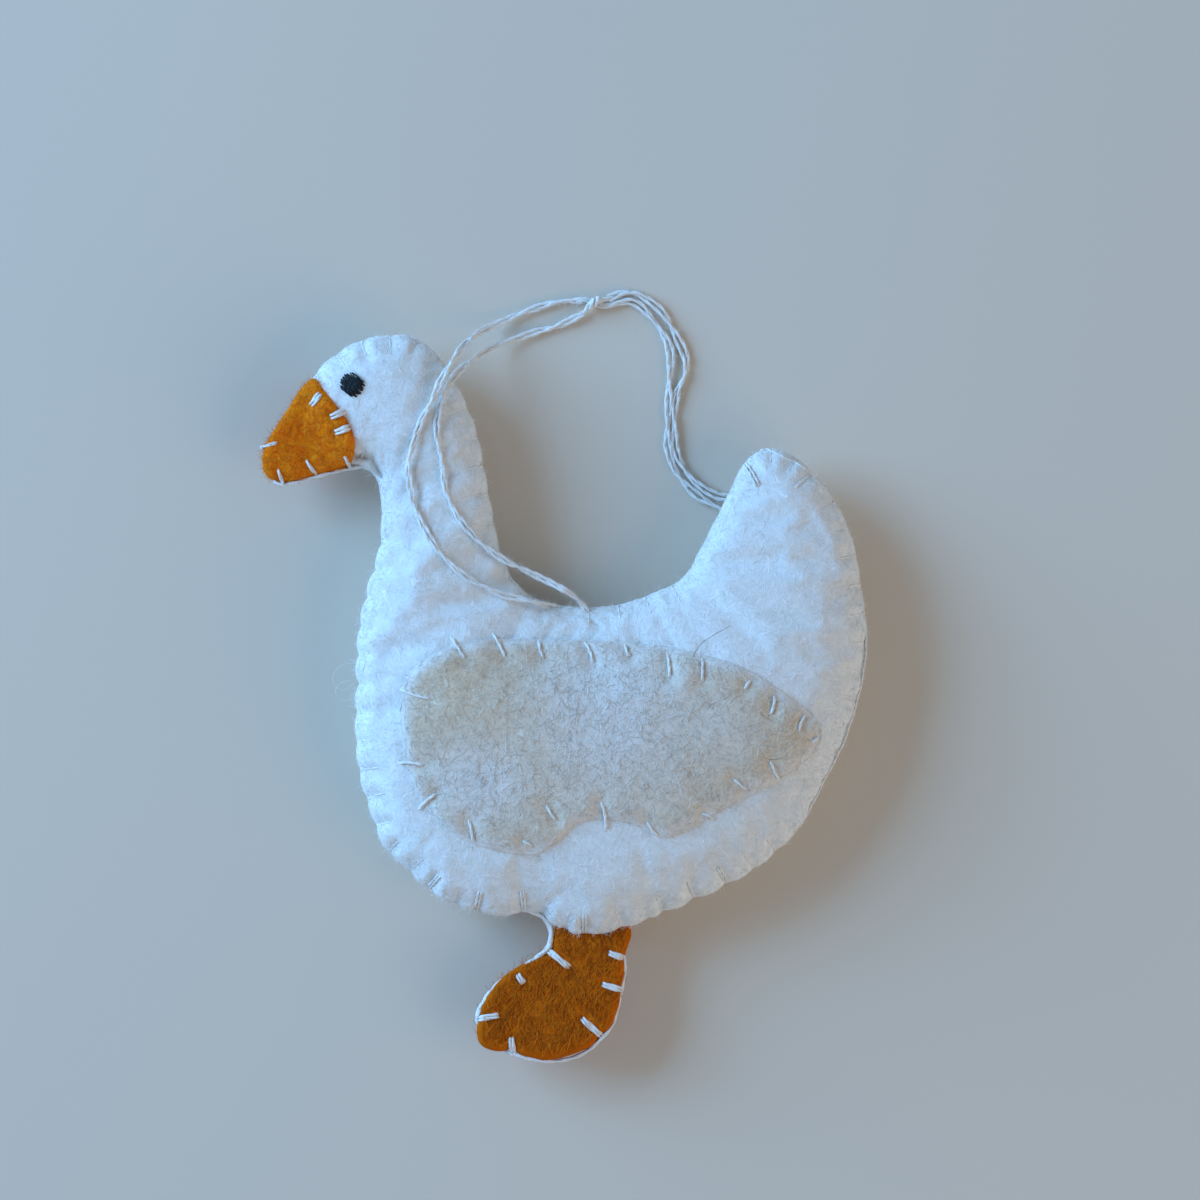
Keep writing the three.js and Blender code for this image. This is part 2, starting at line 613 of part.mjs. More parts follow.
function footPolygon() {
  const spaced = footCurve.getSpacedPoints(2 * FOOT_OUTLINE_SHARES.length);
  const points = spaced.map(({ x, y }) => new THREE.Vector2(x, y));
  const left = points[points.length - 1].x;
  points.push(new THREE.Vector2(left, FOOT_PIVOT_Y + KNUCKLE_RADIUS));
  points.push(new THREE.Vector2(points[0].x, FOOT_PIVOT_Y + KNUCKLE_RADIUS));
  return points;
}

function footKnuckle() {
  const cylinder = new THREE.CylinderGeometry(KNUCKLE_RADIUS, KNUCKLE_RADIUS, FOOT_WIDTH, 20);
  cylinder.rotateZ(Math.PI / 2);
  cylinder.translate(footLeft + FOOT_WIDTH / 2, FOOT_PIVOT_Y, SEAM_Z);
  const low = new THREE.Vector3(footLeft - OVERRUN, footPlace.y - OVERRUN, SEAM_Z - KNUCKLE_RADIUS - OVERRUN);
  const high = new THREE.Vector3(footLeft + FOOT_WIDTH + OVERRUN, FOOT_PIVOT_Y, 2 * SEAM_Z - low.z);
  return toSolid(cylinder).add(boxBetween(low, high));
}

function footStitchPlaces() {
  const length = footCurve.getLength();
  const first = FOOT_THREAD_START / length;
  const count = Math.round((length - 2 * FOOT_THREAD_START) / FOOT_PITCH);
  const places = [];
  for (let i = 0; i <= count; i += 1) {
    places.push(placeOn(footCurve, first + ((1 - 2 * first) * i) / count));
  }
  return places;
}

const footTop = (side) => () => SEAM_Z + side * (KNUCKLE_RADIUS + GAP + THREAD_RADIUS);
const footEdge = edgeStitches(footStitchPlaces(), FOOT_BITE, footTop(FRONT), footTop(REAR), SEAM_Z);
addPiece('foot_edge_thread', sewnStrand(footEdge.points), cottonWhite);

function cutFootLayer(side, word) {
  const outline = new THREE.Shape(footPolygon());
  const flat = new THREE.ExtrudeGeometry(outline, { depth: FELT, bevelEnabled: false });
  flat.translate(0, 0, side === FRONT ? SEAM_Z + GAP / 2 : SEAM_Z - GAP / 2 - FELT);
  addPiece(`foot_panel_${word}`, cutAll(toSolid(flat).intersect(footKnuckle()), footEdge.holes), feltOrange);
}

cutFootLayer(FRONT, 'front');
cutFootLayer(REAR, 'back');

function cutFootTab() {
  const bottom = FOOT_PIVOT_Y + KNUCKLE_RADIUS + GAP;
  const low = new THREE.Vector3(tabCentreX - TAB_WIDTH / 2, bottom, SEAM_Z - FELT / 2);
  const high = new THREE.Vector3(tabCentreX + TAB_WIDTH / 2, TAB_DEPTH, SEAM_Z + FELT / 2);
  addPiece('foot_tab', cutAll(boxBetween(low, high), seam.holes), feltOrange);
}

cutFootTab();

// Stuffing: three wads of wool that fill the body between the panels, clear of the wings' threads
function stuffingLens(clearance) {
  const edge = SEAM_BITE + HOLE_RADIUS + 2 * GAP;
  const shy = (x, y) => {
    const depth = isInside(bodyPolygon, x, y) ? edgeDistance(bodyPolygon, x, y) : 0;
    return Math.max(0, edge - depth);
  };
  const top = (x, y) => SEAM_Z + panelLift(FRONT, x, y) - clearance - shy(x, y);
  const bottom = (x, y) => SEAM_Z - panelLift(REAR, x, y) + clearance + shy(x, y);
  const below = () => -OVERRUN;
  const above = () => PRISM_HEIGHT;
  const corners = [-swell.margin, -swell.margin, gridColumns, gridRows, PANEL_STEP];
  return gridSheet(...corners, below, top).intersect(gridSheet(...corners, bottom, above));
}

function packStuffing() {
  const [splitX, splitY] = [STUFFING_SPLIT_SHARE[0] * BODY_WIDTH, STUFFING_SPLIT_SHARE[1] * BODY_HEIGHT];
  const low = (x, y) => new THREE.Vector3(x, y, -OVERRUN);
  const high = (x, y) => new THREE.Vector3(x, y, PRISM_HEIGHT);
  const bellyBox = boxBetween(low(0, TAB_DEPTH + GAP), high(BODY_WIDTH, splitY - GAP));
  const neckBox = boxBetween(low(-OVERRUN, splitY), high(splitX, BODY_HEIGHT));
  const tailBox = boxBetween(low(splitX, splitY), high(BODY_WIDTH, BODY_HEIGHT));
  const loose = stuffingLens(GAP);
  const belly = stuffingLens(THREAD + 2 * GAP).intersect(bellyBox);
  addPiece('belly_stuffing', belly.subtract(anchorHole), woolStuffing);
  addPiece('neck_stuffing', cutAll(loose.intersect(neckBox), beakWhip.holes), woolStuffing);
  addPiece('tail_stuffing', loose.intersect(tailBox), woolStuffing);
}

// Hanging thread: a stitch through the back of the body, two legs up to a knot, and the loop beyond it
function anchorStitch() {
  const hole = corner(HANGER_HOLE_SHARE);
  const exit = corner(HANGER_EXIT_SHARE);
  const legA = new THREE.Vector3(...LEG_A_ROUTE[0]);
  const legB = new THREE.Vector3(...LEG_B_ROUTE[0]);
  const front = at(hole, legA.z);
  const underSeamThread = FELT + 2 * GAP + THREAD + THREAD_RADIUS;
  const rear = (point) => SEAM_Z - panelLift(REAR, point.x, point.y) - underSeamThread;
  const tail = legA.clone().add(front.clone().sub(legA).setLength(GAP));
  const head = at(exit, legB.z - HANGER_THREAD / 2 - GAP);
  return [tail, front, at(hole, rear(hole)), at(exit, rear(exit)), head];
}

const anchorPoints = anchorStitch();
const [, anchorFront, anchorRear] = anchorPoints;
const anchorHole = needleHole(anchorFront, new THREE.Vector3(1, 0, 0), anchorRear.z, anchorFront.z);
const anchorStrand = strand(new ThreadRoute(anchorPoints), anchorPoints.length - 1, THREAD, 6);
addPiece('hanger_anchor_stitch', anchorStrand, cottonWhite);
packStuffing();

function looseThread(name, route) {
  const curve = new THREE.CatmullRomCurve3(route.map((point) => new THREE.Vector3(...point)));
  addPiece(name, strand(curve, Math.round(curve.getLength() / HANGER_STEP), HANGER_THREAD, 8), cottonWhite);
}

looseThread('hanger_leg_a', LEG_A_ROUTE);
looseThread('hanger_leg_b', LEG_B_ROUTE);
looseThread('hanger_loop', LOOP_ROUTE);

function tieKnot() {
  const quarterTurn = Math.PI / 2;
  const half = new THREE.EllipseCurve(0, 0, KNOT_WIDTH / 2, KNOT_LENGTH / 2, -quarterTurn, quarterTurn);
  const profile = half.getPoints(6);
  profile[0].x = 0;
  profile[profile.length - 1].x = 0;
  const knot = new THREE.LatheGeometry(profile, 10);
  knot.rotateZ(quarterTurn);
  const mesh = addPiece('hanger_knot', knot, cottonWhite);
  mesh.position.set(...KNOT_PLACE);
}

tieKnot();

// Body panels, cut last, because every thread that passes through them leaves its hole
function cutPanel(side, word) {
  const sheet = bodySheet(side, lift(side, 0), lift(side, FELT));
  const holes = seam.holes.concat(wingHoles[side], beakHoles, [anchorHole]);
  addPiece(`body_panel_${word}`, cutAll(sheet.intersect(bodyPrism), holes), feltIvory);
}

cutPanel(FRONT, 'front');
cutPanel(REAR, 'back');

// The origin is the middle of the ornament's underside, measured without the hanging thread
const CORD_NAMES = ['hanger_leg_a', 'hanger_leg_b', 'hanger_loop', 'hanger_knot'];
const extent = new THREE.Box3();
goose.children.filter(({ name }) => !CORD_NAMES.includes(name)).forEach((mesh) => {
  extent.expandByObject(mesh, true);
});
const middle = extent.getCenter(new THREE.Vector3());
goose.position.set(-middle.x, -middle.y, -extent.min.z);

export default goose;
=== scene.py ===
import math

import bmesh
import bpy
import numpy as np
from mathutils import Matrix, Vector, geometry, noise
from mathutils.bvhtree import BVHTree


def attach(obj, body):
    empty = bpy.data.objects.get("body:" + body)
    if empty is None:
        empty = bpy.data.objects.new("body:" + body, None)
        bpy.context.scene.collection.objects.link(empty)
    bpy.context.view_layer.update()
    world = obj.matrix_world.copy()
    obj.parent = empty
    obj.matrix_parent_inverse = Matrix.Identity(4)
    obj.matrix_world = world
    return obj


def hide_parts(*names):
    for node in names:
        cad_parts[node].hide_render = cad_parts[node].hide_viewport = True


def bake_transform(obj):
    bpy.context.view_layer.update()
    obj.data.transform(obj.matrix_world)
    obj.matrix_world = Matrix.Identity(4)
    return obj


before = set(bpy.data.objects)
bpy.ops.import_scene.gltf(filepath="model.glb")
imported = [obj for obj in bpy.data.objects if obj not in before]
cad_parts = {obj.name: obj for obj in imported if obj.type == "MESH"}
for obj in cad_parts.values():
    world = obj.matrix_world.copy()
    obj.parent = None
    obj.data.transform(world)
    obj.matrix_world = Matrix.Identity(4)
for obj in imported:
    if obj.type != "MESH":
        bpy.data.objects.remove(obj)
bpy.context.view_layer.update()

# The view. The goose lies on its back face on a table and is seen from straight above. Cool daylight
# comes from a window at the left, and a warmer room fills the shadows on the right. A plain pale
# table top stands in for what it lies on.
MM = 0.001
VIEW_CENTRE = Vector((5.12, 14.70, 7.05)) * MM
VIEW_WIDTH = 180 * MM
CAMERA_DISTANCE = 900 * MM
TABLE_SIZE = 3000 * MM
TABLE_THICKNESS = 20 * MM
WINDOW_PLACE = Vector((-840, 380, 400)) * MM
WINDOW_SIZE = 680 * MM
WINDOW_POWER = 17.0
WINDOW_COLOUR = "8ac4ff"
ROOM_PLACE = Vector((760, -420, 420)) * MM
ROOM_SIZE = 900 * MM
ROOM_POWER = 3.6
ROOM_COLOUR = "fbeee0"
SKY_COLOUR = "cbdef7"
SKY_STRENGTH = 0.335
TABLE_COLOUR = "e0d1bd"


def linear(hex_colour):
    """An sRGB hex colour as the linear red, green, blue and alpha that a socket takes"""
    parts = [int(hex_colour[i:i + 2], 16) / 255 for i in (0, 2, 4)]
    return (*[p / 12.92 if p <= 0.04045 else ((p + 0.055) / 1.055) ** 2.4 for p in parts], 1.0)


def add_node(tree, kind, inputs=None, **settings):
    """Adds a node with its settings, and links or fills its inputs by name or by number"""
    made = tree.nodes.new(kind)
    for name, value in settings.items():
        setattr(made, name, value)
    for key, value in (inputs or {}).items():
        if isinstance(value, bpy.types.NodeSocket):
            tree.links.new(value, made.inputs[key])
        else:
            made.inputs[key].default_value = value
    return made


def new_material(name, shader_inputs):
    """A material with one shader, and the shader for the caller to link its patterns to"""
    material = bpy.data.materials.new(name)
    material.use_nodes = True
    tree = material.node_tree
    tree.nodes.clear()
    shader = add_node(tree, "ShaderNodeBsdfPrincipled", shader_inputs)
    add_node(tree, "ShaderNodeOutputMaterial", {"Surface": shader.outputs["BSDF"]})
    return material, tree, shader


def add_object(name, mesh, *materials):
    piece = bpy.data.objects.new(name, mesh)
    bpy.context.scene.collection.objects.link(piece)
    for material in materials:
        mesh.materials.append(material)
    return piece


def add_lamp(name, place, size, power, colour):
    lamp = bpy.data.lights.new(name, "AREA")
    lamp.shape = "SQUARE"
    lamp.size = size
    lamp.energy = power
    lamp.color = linear(colour)[:3]
    holder = bpy.data.objects.new(name, lamp)
    bpy.context.scene.collection.objects.link(holder)
    holder.location = place
    holder.rotation_euler = (VIEW_CENTRE - place).to_track_quat("-Z", "Y").to_euler()


camera = bpy.data.objects.new("camera", bpy.data.cameras.new("camera"))
bpy.context.scene.collection.objects.link(camera)
camera.location = VIEW_CENTRE + Vector((0, 0, CAMERA_DISTANCE))
camera.data.lens = camera.data.sensor_width * CAMERA_DISTANCE / VIEW_WIDTH
bpy.context.scene.camera = camera
bpy.context.scene.view_settings.view_transform = "Standard"

add_lamp("window", WINDOW_PLACE, WINDOW_SIZE, WINDOW_POWER, WINDOW_COLOUR)
add_lamp("room", ROOM_PLACE, ROOM_SIZE, ROOM_POWER, ROOM_COLOUR)
world = bpy.data.worlds.new("sky")
world.use_nodes = True
world.node_tree.nodes["Background"].inputs["Color"].default_value = linear(SKY_COLOUR)
world.node_tree.nodes["Background"].inputs["Strength"].default_value = SKY_STRENGTH
bpy.context.scene.world = world

# Table top. A board painted pale and matt, for the goose to lie on. It belongs to the stage, and is no
# part of the ornament. Matt paint gives the eye one even tone with hardly any gloss.
table_paint, _, _ = new_material("painted_table_top", {
    "Base Color": linear(TABLE_COLOUR), "Roughness": 0.7, "Specular IOR Level": 0.3,
})
table_mesh = bpy.data.meshes.new("table_top")
table_form = bmesh.new()
bmesh.ops.create_cube(table_form, size=1)
bmesh.ops.scale(table_form, vec=(TABLE_SIZE, TABLE_SIZE, TABLE_THICKNESS), verts=table_form.verts)
bmesh.ops.translate(table_form, vec=(0, 0, -TABLE_THICKNESS / 2), verts=table_form.verts)
table_form.to_mesh(table_mesh)
table_form.free()
table_top = add_object("table_top", table_mesh, table_paint)

# Stuffed body. Two panels of ivory wool felt, 1.5 mm thick, are cut to one outline and filled with
# wool. The stuffing swells them, and the edge stitches pull the felt in to scallops and dimples.
CORNER = np.array((-38.680, -35.405)) * MM
BODY_SIZE = np.array((83.7, 89.7)) * MM
SEAM_Z = 7.05 * MM
FELT = 1.5 * MM
SEAM_GAP = 0.3 * MM
FRONT_SWELL = 4.6 * MM
BACK_SWELL = 3.6 * MM
# How far in from the edge the felt comes near its full height, and the grid and rounds that find it
SWELL_REACH = 9 * MM
SWELL_STEP = 1.0 * MM
SWELL_ROUNDS = 1500
FLAT_EDGE = 1.2 * MM
NET_SPACING = 1.25 * MM
# A row inside a net's edge keeps the points that are this share of its distance from the edge
ROW_KEPT_SHARE = 0.9
GRID_INSET_SHARE = 0.6
SAME_SPOT = 1e-6
SPOTS_AT_ONCE = 3000
EDGE_SPACING = 0.85 * MM
EDGE_ROWS = (0.45 * MM, 1.0 * MM, 1.7 * MM)
STITCH_PITCH = 4.35 * MM
STITCH_BITE = 2.3 * MM
BITE_VARIATION = 0.18
# Cloth simulation of the filled bag, made ten times larger, and what the stitches hold still in it
PRESSURE = 4
BAG_SCALE = 10
SIM_FRAMES = 20
SIM_START = 0.86
MOST_MOVE = 1.1 * MM
CLOTH_QUALITY = 6
CLOTH_MASS = 0.2
CLOTH_GROWTH = 0.03
HELD_WIDTH = 0.5 * MM
HELD_PAST_BITE = 0.4 * MM
# The felt at its stitches: it rounds off to the edge, is notched and furrowed, and puffs up between
EDGE_DROP = 1.15 * MM
EDGE_ROUND = 1.0 * MM
NOTCH_DEPTH = 0.55 * MM
CALM_NOTCH_SHARE = 0.45
NOTCH_REACH = 2.2 * MM
NOTCH_POINT = 1.5
STITCH_VARIATION = 0.35
FURROW_DEPTH = 0.22 * MM
FURROW_WIDTH = 1.0 * MM
FURROW_END = 0.25 * MM
DIMPLE_DEPTH = 0.25 * MM
DIMPLE_WIDTH = 0.7 * MM
HIDDEN_PULL_SHARE = 0.35
SHOWN_PULL_SHARE = 0.3
PUFF_HEIGHT = 0.2 * MM
PUFF_INSET = 1.3 * MM
PUFF_WIDTH = 1.1 * MM
LUMP_DEPTH = 0.12 * MM
LUMP_SIZE = 6 * MM
LUMP_FADE = 2 * MM
PILL_DEPTH = 0.025 * MM
PILL_SIZE = 1.3 * MM
INNER_GAP = 0.04 * MM
LEAST_LIFT = 0.25 * MM
LEAST_HEIGHT = 1.5 * MM
IVORY_RIM_SHARE = 0.6
IVORY_RIM_WIDTH = 1.6 * MM
# A felt's colours, how strongly its fibres and its mottling show, and how deep its fibres lie
IVORY = {"dark": "dedcd4", "light": "f1f0ea", "fibre": "ffffff", "sheen": "ffffff", "rim": "f4f3ee",
         "fibre_share": 0.65, "mottle": 0.28, "depth": 0.04 * MM}
# The matted fibres in mm, drawn several times as coarse as real wool so that they show, and their
# directions in degrees
FIBRE_LENGTH = 3.2
FIBRE_WIDTH = 0.22
FIBRE_TURNS = (8, 41, 79, 112, 147)
FIBRE_WANDER = 3.0
# How many bends of the fibres, mottled patches and pills there are to a millimetre
BENDS_PER_MM = 0.4
PATCHES_PER_MM = 0.42
PILLS_PER_MM = 1.9
PILL_HEIGHT_SHARE = 1.2
NOISE_MIDDLE = (0.5, 0.5, 0.5)
SEED_STEPS = (17.3, 5.1, 9.7)
FRONT, REAR = 1, -1
# Stitches that show: their place on the edge and length in mm, how much shows and how deep they pull
SEEN_STITCHES = (
    (-20.1, -27.9, 2.2, 1.0, 1.1), (-13.3, -31.0, 2.6, 0.9, 0.9), (-6.4, -31.3, 2.8, 1.0, 0.9),
    (2.7, -35.4, 2.7, 1.0, 0.8), (14.0, -30.7, 1.8, 0.3, 1.5), (18.8, -29.1, 2.2, 0.6, 1.5),
    (23.4, -26.4, 2.4, 0.9, 1.4), (36.7, 33.8, 3.2, 0.6, 0.6),
)
LEAST_SHOWN = 0.12
# Stretches of the edge, as boxes in mm, where the stitches pull the felt in more, and how much
DEEP_NOTCH_BOXES = ((-36, -24, -22, 24, 1.0), (-36, -42, 34, -22, 0.9), (-40, 46, -20, 60, 0.7),
                    (-19, 16, -7, 48, 0.75))
# Where thread inside the goose draws the felt in: below the chin, and where the hanger goes through
CHIN_FOLDS = ((-29.1, 35.9, -27.6, 33.3), (-31.7, 36.2, -29.8, 36.0))
CHIN_FOLD_DEPTH = 1.7 * MM
HANGER_FOLDS = ((4.2, 11.2, 5.0, 10.5),)
HANGER_FOLD_DEPTH = 0.9 * MM
FOLD_WIDTH = 0.45 * MM
# The points of a smooth line from each of its given points to the next
SPLINE_STEPS = 16
BODY_OUTLINE_SHARES = (
    (0.014, 0.936), (0.043, 0.963), (0.090, 0.990), (0.138, 1.000), (0.190, 0.997), (0.226, 0.972),
    (0.258, 0.931), (0.283, 0.885), (0.303, 0.834), (0.317, 0.768), (0.330, 0.701), (0.344, 0.639),
    (0.366, 0.595), (0.398, 0.564), (0.443, 0.550), (0.505, 0.545), (0.568, 0.552), (0.622, 0.570),
    (0.672, 0.594), (0.703, 0.640), (0.731, 0.691), (0.756, 0.737), (0.787, 0.791), (0.828, 0.811),
    (0.873, 0.796), (0.912, 0.763), (0.950, 0.712), (0.977, 0.651), (0.989, 0.584), (1.000, 0.508),
    (0.995, 0.441), (0.980, 0.378), (0.957, 0.316), (0.925, 0.258), (0.882, 0.182), (0.828, 0.129),
    (0.765, 0.089), (0.694, 0.057), (0.613, 0.027), (0.541, 0.003), (0.478, 0.000), (0.441, 0.015),
    (0.407, 0.035), (0.341, 0.032), (0.272, 0.047), (0.219, 0.072), (0.174, 0.114), (0.138, 0.144),
    (0.115, 0.199), (0.095, 0.258), (0.086, 0.324), (0.086, 0.391), (0.086, 0.467), (0.093, 0.525),
    (0.106, 0.580), (0.125, 0.639), (0.133, 0.692), (0.129, 0.747), (0.116, 0.773), (0.090, 0.783),
    (0.054, 0.796), (0.029, 0.826), (0.007, 0.868), (0.000, 0.905),
)


def smooth_line(points, closed):
    """A dense smooth line through points: the centripetal spline of the panels' own outline"""
    points = np.asarray(points, float)
    if closed:
        around = np.vstack([points[-1:], points, points[:2]])
    else:
        around = np.vstack([2 * points[0] - points[1], points, 2 * points[-1] - points[-2]])
    dense = []
    for i in range(len(around) - 3):
        p0, p1, p2, p3 = around[i:i + 4]
        spans = [math.sqrt(np.linalg.norm(b - a)) for a, b in ((p0, p1), (p1, p2), (p2, p3))]
        k0, k1, k2, k3 = np.concatenate([[0], np.cumsum(spans)])
        t = np.linspace(k1, k2, SPLINE_STEPS, endpoint=False)[:, None]
        a1 = ((k1 - t) * p0 + (t - k0) * p1) / (k1 - k0)
        a2 = ((k2 - t) * p1 + (t - k1) * p2) / (k2 - k1)
        a3 = ((k3 - t) * p2 + (t - k2) * p3) / (k3 - k2)
        b1 = ((k2 - t) * a1 + (t - k0) * a2) / (k2 - k0)
        b2 = ((k3 - t) * a2 + (t - k1) * a3) / (k3 - k1)
        dense.append(((k2 - t) * b1 + (t - k1) * b2) / (k2 - k1))
    if not closed:
        dense.append(points[-1:])
    return np.vstack(dense)


def line_lengths(line):
    """The distance along a line at each of its points"""
    return np.concatenate([[0], np.cumsum(np.linalg.norm(np.diff(line, axis=0), axis=1))])


def evenly_spaced(line, closed, spacing):
    """The line's points set out again at an even spacing"""
    whole = np.vstack([line, line[:1]]) if closed else line
    lengths = line_lengths(whole)
    count = max(3, round(lengths[-1] / spacing))
    marks = np.linspace(0, lengths[-1], count + 1)[:-1 if closed else None]
    return np.column_stack([np.interp(marks, lengths, axis) for axis in whole.T])


def nearest_on(line, spots):
    """For each spot its distance to a closed line, its place along it, and whether it is inside"""
    start, span = line, np.roll(line, -1, axis=0) - line
    lengths = np.linalg.norm(span, axis=1)
    before = np.concatenate([[0], np.cumsum(lengths)[:-1]])
    rise = np.where(span[:, 1] == 0, 1e-12, span[:, 1])
    found = []
    for part in np.array_split(spots, max(1, len(spots) // SPOTS_AT_ONCE)):
        away = part[:, None] - start
        share = np.clip((away * span).sum(2) / lengths ** 2, 0, 1)
        gaps = np.linalg.norm(away - share[..., None] * span, axis=2)
        best = gaps.argmin(1)
        rows = np.arange(len(part))
        crosses = (start[:, 1] > part[:, 1:]) != (start[:, 1] + span[:, 1] > part[:, 1:])
        level = start[:, 0] + (part[:, 1:] - start[:, 1]) * span[:, 0] / rise
        inside = (crosses & (part[:, :1] < level)).sum(1) % 2
        found.append(np.column_stack([gaps[rows, best], (before + share * lengths)[rows, best], inside]))
    distance, along, inside = np.vstack(found).T
    return distance, along, inside > 0.5


def outward_of(line):
    """Unit normals of a closed line that runs clockwise, pointing out of it"""
    along = np.roll(line, -1, axis=0) - np.roll(line, 1, axis=0)
    along /= np.linalg.norm(along, axis=1)[:, None]
    return np.column_stack([-along[:, 1], along[:, 0]])


def felt_net(line, spacing, rows):
    """Triangles that fill a closed line, with rows of points set in from its edge"""
    outward = outward_of(line)
    low, high = line.min(0), line.max(0)
    step_y = spacing * math.sqrt(3) / 2
    grid = np.array([
        (low[0] + (i + j % 2 / 2) * spacing, low[1] + j * step_y)
        for j in range(int((high[1] - low[1]) / step_y) + 2)
        for i in range(int((high[0] - low[0]) / spacing) + 2)
    ])
    distance, _, inside = nearest_on(line, grid)
    grid = grid[inside & (distance > rows[-1] + GRID_INSET_SHARE * spacing)]
    inner_rows = []
    for row in rows:
        shifted = line - outward * row
        depth, _, within = nearest_on(line, shifted)
        inner_rows.append(shifted[within & (depth > ROW_KEPT_SHARE * row)])
    spots = np.vstack([line, *inner_rows, grid])
    edges = [(i, (i + 1) % len(line)) for i in range(len(line))]
    made = geometry.delaunay_2d_cdt([Vector(spot) / MM for spot in spots], edges, [], 1, SAME_SPOT)
    return np.array([tuple(spot) for spot in made[0]]) * MM, [tuple(face) for face in made[2]]


def counter_faces(spots, faces):
    """The same faces, each turned to run counter-clockwise"""
    corners = spots[np.array(faces)]
    first, second = corners[:, 1] - corners[:, 0], corners[:, 2] - corners[:, 0]
    level = first[:, 0] * second[:, 1] - first[:, 1] * second[:, 0] > 0
    return [face if upright else face[::-1] for face, upright in zip(faces, level)]


def points_of(mesh):
    """A mesh's vertices as rows of x, y and z"""
    places = np.empty(len(mesh.vertices) * 3)
    mesh.vertices.foreach_get("co", places)
    return places.reshape(-1, 3)


def plain_mesh_of(piece):
    """The piece's mesh with its modifiers applied, and the piece itself taken away"""
    view = bpy.context.evaluated_depsgraph_get()
    mesh = bpy.data.meshes.new_from_object(piece.evaluated_get(view), depsgraph=view)
    bpy.data.objects.remove(piece)
    return mesh


def smoothed_once(name, points, faces):
    """The sheet with one subdivision: its points and its faces"""
    mesh = bpy.data.meshes.new(name)
    mesh.from_pydata(points.tolist(), [], faces)
    sheet = add_object(name, mesh)
    smoother = sheet.modifiers.new("smooth", "SUBSURF")
    smoother.levels = smoother.render_levels = 1
    finer = plain_mesh_of(sheet)
    return points_of(finer), [tuple(face.vertices) for face in finer.polygons]


def closed_sheet(name, outer, inner, faces, side):
    """A felt sheet of an outer and an inner face, joined by a wall round its edge"""
    turned = faces if side == FRONT else [face[::-1] for face in faces]
    count = len(outer)
    used = {}
    for face in turned:
        for a, b in zip(face, face[1:] + face[:1]):
            used[a, b] = True
    walls = [(b, a, a + count, b + count) for a, b in used if (b, a) not in used]
    backs = [tuple(i + count for i in face[::-1]) for face in turned]
    mesh = bpy.data.meshes.new(name)
    mesh.from_pydata(np.vstack([outer, inner]).tolist(), [], turned + backs + walls)
    mesh.shade_smooth()
    return mesh


def mark_rim(mesh, distance, strength, width, spots=None, painted_sheen=()):
    """Notes where a sheet is paler and fuzzier for its colour and nap: at its edge and in painted sheen"""
    rim = mesh.attributes.new("rim", "FLOAT", "POINT")
    share = strength * np.exp(-(distance / width) ** 2)
    for x, y, reach_x, reach_y, amount in painted_sheen:
        away = (spots / MM - (x, y)) / (reach_x, reach_y)
        share = np.maximum(share, amount * np.exp(-(away ** 2).sum(1)))
    rim.data.foreach_set("value", np.tile(share, 2).astype(np.float32))


def noise_at(points, size, seed):
    """Smooth noise, about -1 to 1, whose features are of one size"""
    shift = Vector([seed * step for step in SEED_STEPS])
    return np.array([noise.noise(Vector(point) / size + shift) for point in points])


body_line = evenly_spaced(smooth_line(BODY_OUTLINE_SHARES * BODY_SIZE + CORNER, True), True, EDGE_SPACING)
body_edge_length = line_lengths(np.vstack([body_line, body_line[:1]]))[-1]
stitch_count = round(body_edge_length / STITCH_PITCH)
stitch_pitch = body_edge_length / stitch_count
edge_marks = line_lengths(body_line)
edge_outward = outward_of(body_line)


def uneven(number, step):
    """What makes handwork uneven: a number from -1 to 1 that differs from one stitch to the next"""
    return np.sin(number * step)


def placed_stitches():
    """Each seam stitch's place along the edge, its length, how much of it shows and how deep it pulls"""
    marks = np.arange(stitch_count) * stitch_pitch
    lengths = STITCH_BITE * (1 + BITE_VARIATION * uneven(np.arange(stitch_count), 4.7))
    shows = np.full(stitch_count, LEAST_SHOWN)
    pulls = np.full(stitch_count, CALM_NOTCH_SHARE)
    spots = np.column_stack([np.interp(marks, edge_marks, axis) for axis in body_line.T]) / MM
    for x0, y0, x1, y1, pull in DEEP_NOTCH_BOXES:
        pulls[(spots[:, 0] > x0) & (spots[:, 0] < x1) & (spots[:, 1] > y0) & (spots[:, 1] < y1)] = pull
    for x, y, length, show, pull in SEEN_STITCHES:
        place = nearest_on(body_line, np.array([(x * MM, y * MM)]))[1][0]
        nearest = np.abs(marks - place).argmin()
        marks[nearest], lengths[nearest], shows[nearest], pulls[nearest] = place, length * MM, show, pull
    return marks, lengths, shows, pulls


def nearest_stitch(along):
    """For places along the edge: the nearest stitch, the gap to it, and that gap as a share of the pitch"""
    after = np.append(stitch_marks[1:], stitch_marks[0] + body_edge_length)
    number = np.searchsorted((stitch_marks + after) / 2, along) % stitch_count
    gap = (along - stitch_marks[number] + body_edge_length / 2) % body_edge_length - body_edge_length / 2
    pitch_after = after - stitch_marks
    pitch = np.where(gap > 0, pitch_after[number], pitch_after[number - 1])
    return number, gap, gap / pitch


def dents_at(spots, stitches, depth, width):
    """How far thread pulls the felt down near each stitch"""
    pressed = np.zeros(len(spots))
    for x0, y0, x1, y1 in np.array(stitches) * MM:
        start, span = np.array((x0, y0)), np.array((x1 - x0, y1 - y0))
        share = np.clip((spots - start) @ span / (span @ span), 0, 1)
        gap = np.linalg.norm(spots - start - share[:, None] * span, axis=1)
        pressed = np.maximum(pressed, depth * np.exp(-(gap / width) ** 2))
    return pressed


